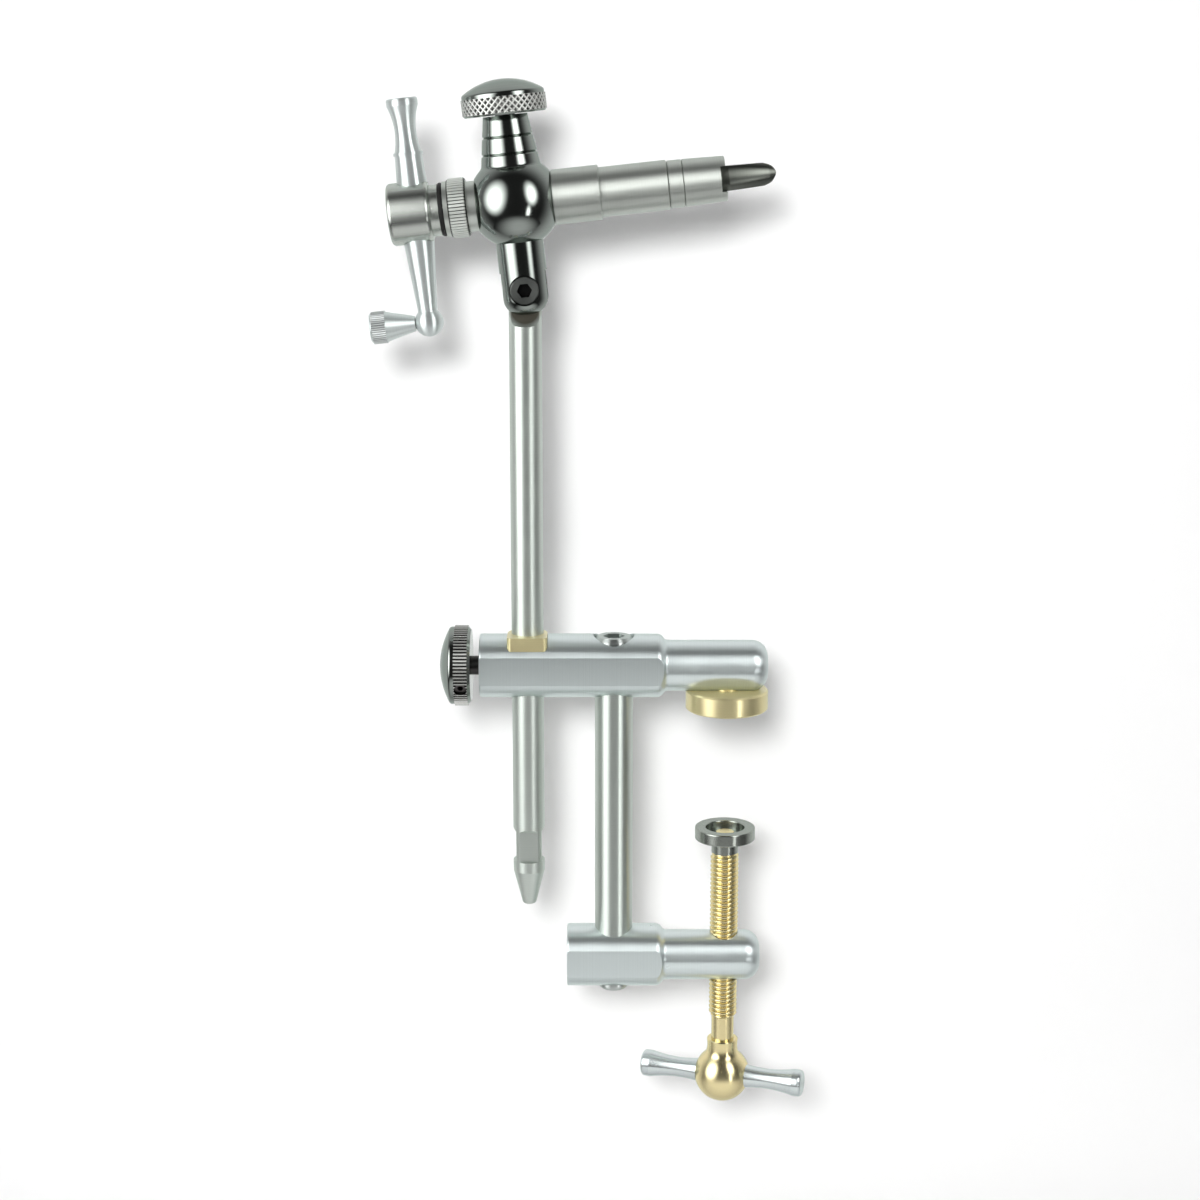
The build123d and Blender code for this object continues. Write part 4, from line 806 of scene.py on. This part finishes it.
# Painted shade in the grooves of the knurl; its lands painted light, partly wear and partly a
# painted highlight
knurl_shade_and_wear(
    collar_metal,
    collar_knurl_back,
    collar_knurl_front,
    collar_radius - collar_groove_depth,
    collar_radius,
    foot_colour=(0.05, 0.05, 0.045),
    crest_colour=(0.62, 0.65, 0.61),
)
collar = turned_mesh(
    "collar_knurled",
    collar_rings,
    columns=collar_grooves * collar_groove_columns,
    place=on_spindle,
    material=collar_metal,
    sharp_angle=25.0,
    bored=True,
)
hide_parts("adjusting_collar")
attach(collar, "collar")

# O-ring
# Black rubber ring, matt, between the collar and the hub.
rubber = bpy.data.materials.new("ring_rubber")
rubber.use_nodes = True
rubber_nodes = rubber.node_tree.nodes
rubber_links = rubber.node_tree.links
rubber_place = rubber_nodes.new("ShaderNodeTexCoord")
rubber_bloom = rubber_nodes.new("ShaderNodeTexNoise")
rubber_bloom.inputs["Scale"].default_value = 900.0
rubber_links.new(rubber_place.outputs["Object"], rubber_bloom.inputs["Vector"])
rubber_tone = rubber_nodes.new("ShaderNodeMix")
rubber_tone.data_type = "RGBA"
rubber_tone.inputs[6].default_value = (0.006, 0.006, 0.006, 1.0)
rubber_tone.inputs[7].default_value = (0.018, 0.018, 0.017, 1.0)
rubber_links.new(rubber_bloom.outputs[0], rubber_tone.inputs[0])
rubber_links.new(rubber_tone.outputs[2], rubber_nodes["Principled BSDF"].inputs["Base Color"])
rubber_nodes["Principled BSDF"].inputs["Roughness"].default_value = 0.55
rubber_nodes["Principled BSDF"].inputs["Specular IOR Level"].default_value = 0.2
rubber_bump = rubber_nodes.new("ShaderNodeBump")
rubber_bump.inputs["Distance"].default_value = 0.00002
rubber_bump.inputs["Strength"].default_value = 0.4
rubber_links.new(rubber_bloom.outputs[0], rubber_bump.inputs["Height"])
rubber_links.new(rubber_bump.outputs["Normal"], rubber_nodes["Principled BSDF"].inputs["Normal"])
give(rubber, "o_ring")

# Hub lever and crank
# Turned aluminium, left satin: a flared lever above the hub and a crank with a ball end below it.
lever_setback = 0.0301
lever_centre = ball_centre - spindle_dir * lever_setback
lever_metal = turned_metal(
    "lever_aluminium",
    (0.725, 0.78, 0.77),
    roughness=0.36,
    axis=tuple(neck_dir),
    centre=tuple(lever_centre),
    rings=2800.0,
    depth=0.000005,
    satin=0.25,
)
give(lever_metal, "hub_lever", "crank_arm")
crank_reach = 0.0330
crank_centre = lever_centre - neck_dir * crank_reach
pin_metal = turned_metal(
    "pin_steel",
    (0.50, 0.51, 0.50),
    roughness=0.20,
    axis=tuple(spindle_dir),
    centre=tuple(crank_centre),
    rings=3000.0,
    depth=0.000003,
)
give(pin_metal, "crank_pin", "drawbar", "jaw_pins")
crank_knob_metal = turned_metal(
    "crank_knob_aluminium",
    (0.725, 0.78, 0.77),
    roughness=0.36,
    axis=tuple(spindle_dir),
    centre=tuple(crank_centre),
    rings=2800.0,
    depth=0.000005,
    satin=0.25,
)
crank_knurl_back = -0.0173
crank_knurl_front = -0.0131
crank_knurl_foot = 0.00475
crank_knurl_crest = 0.00495
# Painted shade at the foot of the knurl; its crests painted light, partly wear and partly a
# painted highlight
knurl_shade_and_wear(
    crank_knob_metal,
    crank_knurl_back,
    crank_knurl_front,
    crank_knurl_foot,
    crank_knurl_crest,
    foot_colour=(0.22, 0.23, 0.23),
    crest_colour=(0.76, 0.80, 0.79),
)
give(crank_knob_metal, "crank_knob")

# Jaws
# Two halves of hardened tool steel, ground and tempered to a dull grey brown.
jaw_metal = turned_metal(
    "hardened_jaws",
    (0.165, 0.175, 0.155),
    roughness=0.32,
    axis=tuple(spindle_dir),
    centre=tuple(ball_centre),
    rings=2400.0,
    depth=0.000005,
    grain=0.7,
)
give(jaw_metal, "jaw_near", "jaw_far")

# Studio
# Pale sweep close behind the vise, which takes its soft shadow; it shows from the front only.
sweep_wall_y = 0.055
sweep_floor_z = -0.205
sweep_bend = 0.045
sweep_bend_steps = 12
sweep_left = -1.6
sweep_right = 1.5
sweep_top = 0.34
sweep_line = []
for step in range(sweep_bend_steps + 1):
    turn = math.radians(90 * step / sweep_bend_steps)
    sweep_line.append(
        (
            sweep_wall_y - sweep_bend + sweep_bend * math.sin(turn),
            sweep_floor_z + sweep_bend - sweep_bend * math.cos(turn),
        )
    )
sweep_line.append((sweep_wall_y, sweep_top))
sweep_verts = []
for y, z in sweep_line:
    sweep_verts.append((sweep_left, y, z))
    sweep_verts.append((sweep_right, y, z))
sweep_faces = []
for step in range(len(sweep_line) - 1):
    sweep_faces.append((2 * step, 2 * step + 1, 2 * step + 3, 2 * step + 2))
sweep_mesh = bpy.data.meshes.new("sweep")
sweep_mesh.from_pydata(sweep_verts, [], sweep_faces)
sweep_mesh.shade_smooth()
# Away from the vise the paper goes over into the white of the room, so that no edge of it shows
vise_middle = Vector((-0.03, 0.0, 0.03))
fade_start = 0.30
fade_end = 0.40


def faded_share(nodes, links):
    """How far the paper has gone over into white at a place, for the camera alone."""
    spot = nodes.new("ShaderNodeNewGeometry")
    reach = nodes.new("ShaderNodeVectorMath")
    reach.operation = "DISTANCE"
    reach.inputs[1].default_value = vise_middle
    links.new(spot.outputs["Position"], reach.inputs[0])
    fade = nodes.new("ShaderNodeMapRange")
    fade.interpolation_type = "SMOOTHSTEP"
    fade.inputs["From Min"].default_value = fade_start
    fade.inputs["From Max"].default_value = fade_end
    links.new(reach.outputs["Value"], fade.inputs["Value"])
    ray = nodes.new("ShaderNodeLightPath")
    share = nodes.new("ShaderNodeMath")
    share.operation = "MULTIPLY"
    links.new(fade.outputs["Result"], share.inputs[0])
    links.new(ray.outputs["Is Camera Ray"], share.inputs[1])
    return share.outputs["Value"]


paper = bpy.data.materials.new("sweep_paper")
paper.use_nodes = True
paper_nodes = paper.node_tree.nodes
paper_links = paper.node_tree.links
paper_nodes["Principled BSDF"].inputs["Base Color"].default_value = (0.92, 0.92, 0.92, 1.0)
paper_nodes["Principled BSDF"].inputs["Roughness"].default_value = 0.9
paper_nodes["Principled BSDF"].inputs["Specular IOR Level"].default_value = 0.0
behind = paper_nodes.new("ShaderNodeNewGeometry")
clear = paper_nodes.new("ShaderNodeBsdfTransparent")
one_sided = paper_nodes.new("ShaderNodeMixShader")
unseen = paper_nodes.new("ShaderNodeMath")
unseen.operation = "MAXIMUM"
paper_links.new(behind.outputs["Backfacing"], unseen.inputs[0])
paper_links.new(faded_share(paper_nodes, paper_links), unseen.inputs[1])
paper_links.new(unseen.outputs["Value"], one_sided.inputs[0])
paper_links.new(paper_nodes["Principled BSDF"].outputs[0], one_sided.inputs[1])
paper_links.new(clear.outputs[0], one_sided.inputs[2])
paper_links.new(one_sided.outputs[0], paper_nodes["Material Output"].inputs["Surface"])
sweep_mesh.materials.append(paper)
sweep = bpy.data.objects.new("sweep", sweep_mesh)
bpy.context.scene.collection.objects.link(sweep)
sweep.visible_glossy = False
# Pale paper on the floor in front of the vise; the polished metal shows on it a painted pool of
# light, as for reflected rays the paper glows, brightest near its middle and faint at its rim
floor_centre = (0.0, -0.20, 0.0)
floor_radius = 0.42
floor_full_radius = 0.05
floor_corners = 48
floor_mesh = bpy.data.meshes.new("floor")
floor_verts = []
for step in range(floor_corners):
    turn = 2 * math.pi * step / floor_corners
    floor_verts.append(
        (
            floor_centre[0] + floor_radius * math.cos(turn),
            min(floor_centre[1] + floor_radius * math.sin(turn), sweep_wall_y - sweep_bend),
            sweep_floor_z,
        )
    )
floor_mesh.from_pydata(floor_verts, [], [tuple(range(floor_corners))])
floor_paper = bpy.data.materials.new("floor_paper")
floor_paper.use_nodes = True
floor_nodes = floor_paper.node_tree.nodes
floor_links = floor_paper.node_tree.links
floor_nodes["Principled BSDF"].inputs["Base Color"].default_value = (0.92, 0.92, 0.92, 1.0)
floor_nodes["Principled BSDF"].inputs["Roughness"].default_value = 0.9
floor_nodes["Principled BSDF"].inputs["Specular IOR Level"].default_value = 0.0
floor_place = floor_nodes.new("ShaderNodeTexCoord")
floor_flat = floor_nodes.new("ShaderNodeVectorMath")
floor_flat.operation = "MULTIPLY"
floor_flat.inputs[1].default_value = (1.0, 1.0, 0.0)
floor_links.new(floor_place.outputs["Object"], floor_flat.inputs[0])
floor_reach = floor_nodes.new("ShaderNodeVectorMath")
floor_reach.operation = "DISTANCE"
floor_reach.inputs[1].default_value = floor_centre
floor_links.new(floor_flat.outputs["Vector"], floor_reach.inputs[0])
# Painted pool of light for reflected rays: the glow is strongest near the middle of the floor and
# fades out towards its rim
floor_fade = floor_nodes.new("ShaderNodeMapRange")
floor_fade.interpolation_type = "SMOOTHSTEP"
floor_fade.inputs["From Min"].default_value = floor_radius
floor_fade.inputs["From Max"].default_value = floor_full_radius
floor_fade.inputs["To Min"].default_value = 0.03
floor_fade.inputs["To Max"].default_value = 0.95
floor_links.new(floor_reach.outputs["Value"], floor_fade.inputs["Value"])
floor_glow = floor_nodes.new("ShaderNodeEmission")
floor_links.new(floor_fade.outputs["Result"], floor_glow.inputs["Strength"])
floor_path = floor_nodes.new("ShaderNodeLightPath")
floor_either = floor_nodes.new("ShaderNodeMixShader")
floor_links.new(floor_path.outputs["Is Glossy Ray"], floor_either.inputs[0])
floor_links.new(floor_nodes["Principled BSDF"].outputs[0], floor_either.inputs[1])
floor_links.new(floor_glow.outputs[0], floor_either.inputs[2])
floor_clear = floor_nodes.new("ShaderNodeBsdfTransparent")
floor_end = floor_nodes.new("ShaderNodeMixShader")
floor_links.new(faded_share(floor_nodes, floor_links), floor_end.inputs[0])
floor_links.new(floor_either.outputs[0], floor_end.inputs[1])
floor_links.new(floor_clear.outputs[0], floor_end.inputs[2])
floor_links.new(floor_end.outputs[0], floor_nodes["Material Output"].inputs["Surface"])
floor_mesh.materials.append(floor_paper)
floor = bpy.data.objects.new("floor", floor_mesh)
bpy.context.scene.collection.objects.link(floor)

# Studio light
# Oval softbox on the left, a smaller one and a low strip on the right for the metal; a small key
# beside the camera lights the sweep and draws the soft shadow. The room is white behind the vise
# and dark in front of it, which puts the dark bands in the polished metal.


def softbox(name, place, width, height, power):
    """An oval light that faces the vise and fades towards its rim."""
    data = bpy.data.lights.new(name, "AREA")
    data.shape = "ELLIPSE"
    data.size = width
    data.size_y = height
    data.energy = power
    light = bpy.data.objects.new(name, data)
    light.location = place
    light.rotation_euler = (vise_middle - Vector(place)).to_track_quat("-Z", "Y").to_euler()
    bpy.context.scene.collection.objects.link(light)
    data.use_nodes = True
    nodes = data.node_tree.nodes
    links = data.node_tree.links
    spot = nodes.new("ShaderNodeNewGeometry")
    from_middle = nodes.new("ShaderNodeVectorMath")
    from_middle.operation = "DISTANCE"
    from_middle.inputs[1].default_value = (0.5, 0.5, 0.0)
    links.new(spot.outputs["Parametric"], from_middle.inputs[0])
    fade = nodes.new("ShaderNodeMapRange")
    fade.interpolation_type = "SMOOTHSTEP"
    fade.inputs["From Min"].default_value = 0.5
    fade.inputs["From Max"].default_value = 0.0
    links.new(from_middle.outputs["Value"], fade.inputs["Value"])
    links.new(fade.outputs["Result"], nodes["Emission"].inputs["Strength"])
    return light


left_box = softbox("left_softbox", place=(-0.62, -0.46, 0.24), width=1.10, height=1.40, power=25.0)
right_box = softbox("right_softbox", place=(0.44, -0.50, 0.39), width=0.56, height=1.00, power=9.5)
low_strip = softbox("low_strip", place=(0.40, -0.62, -0.16), width=0.20, height=0.62, power=2.0)
for lamp in (left_box, right_box, low_strip):
    lamp.visible_diffuse = False
front_key = softbox("front_key", place=(-0.14, -0.95, 0.37), width=0.36, height=0.36, power=29.0)
front_key.visible_glossy = False
world = bpy.data.worlds.new("studio")
world.use_nodes = True
world_nodes = world.node_tree.nodes
world_links = world.node_tree.links
surround = world_nodes["Background"]
surround.inputs["Color"].default_value = (1.0, 1.0, 1.0, 1.0)
path = world_nodes.new("ShaderNodeLightPath")
facing = world_nodes.new("ShaderNodeTexCoord")
facing_split = world_nodes.new("ShaderNodeSeparateXYZ")
world_links.new(facing.outputs["Generated"], facing_split.inputs["Vector"])
mirrored = world_nodes.new("ShaderNodeMapRange")
mirrored.interpolation_type = "SMOOTHSTEP"
mirrored.inputs["From Min"].default_value = -0.35
mirrored.inputs["From Max"].default_value = 0.75
mirrored.inputs["To Min"].default_value = 0.03
mirrored.inputs["To Max"].default_value = 1.0
world_links.new(facing_split.outputs["Y"], mirrored.inputs["Value"])
room_fill = 0.28
room = world_nodes.new("ShaderNodeMix")
room.inputs[2].default_value = room_fill
world_links.new(path.outputs["Is Glossy Ray"], room.inputs[0])
world_links.new(mirrored.outputs["Result"], room.inputs[3])
seen = world_nodes.new("ShaderNodeMath")
seen.operation = "MAXIMUM"
world_links.new(path.outputs["Is Camera Ray"], seen.inputs[0])
world_links.new(path.outputs["Is Transmission Ray"], seen.inputs[1])
level = world_nodes.new("ShaderNodeMix")
level.inputs[3].default_value = 1.0
world_links.new(seen.outputs[0], level.inputs[0])
world_links.new(room.outputs[0], level.inputs[2])
world_links.new(level.outputs[0], surround.inputs["Strength"])
bpy.context.scene.world = world
bpy.context.scene.view_settings.view_transform = "Standard"

# Camera
# A little above the pad, looking down about thirteen degrees, square to the flats of the arms.
camera_data = bpy.data.cameras.new("camera")
camera_data.lens = 66.0
camera_data.sensor_width = 36.0
camera = bpy.data.objects.new("camera", camera_data)
camera.location = (-0.040, -0.671, 0.185)
camera.rotation_euler = (math.radians(77.4), 0.0, 0.0)
bpy.context.scene.collection.objects.link(camera)
bpy.context.scene.camera = camera
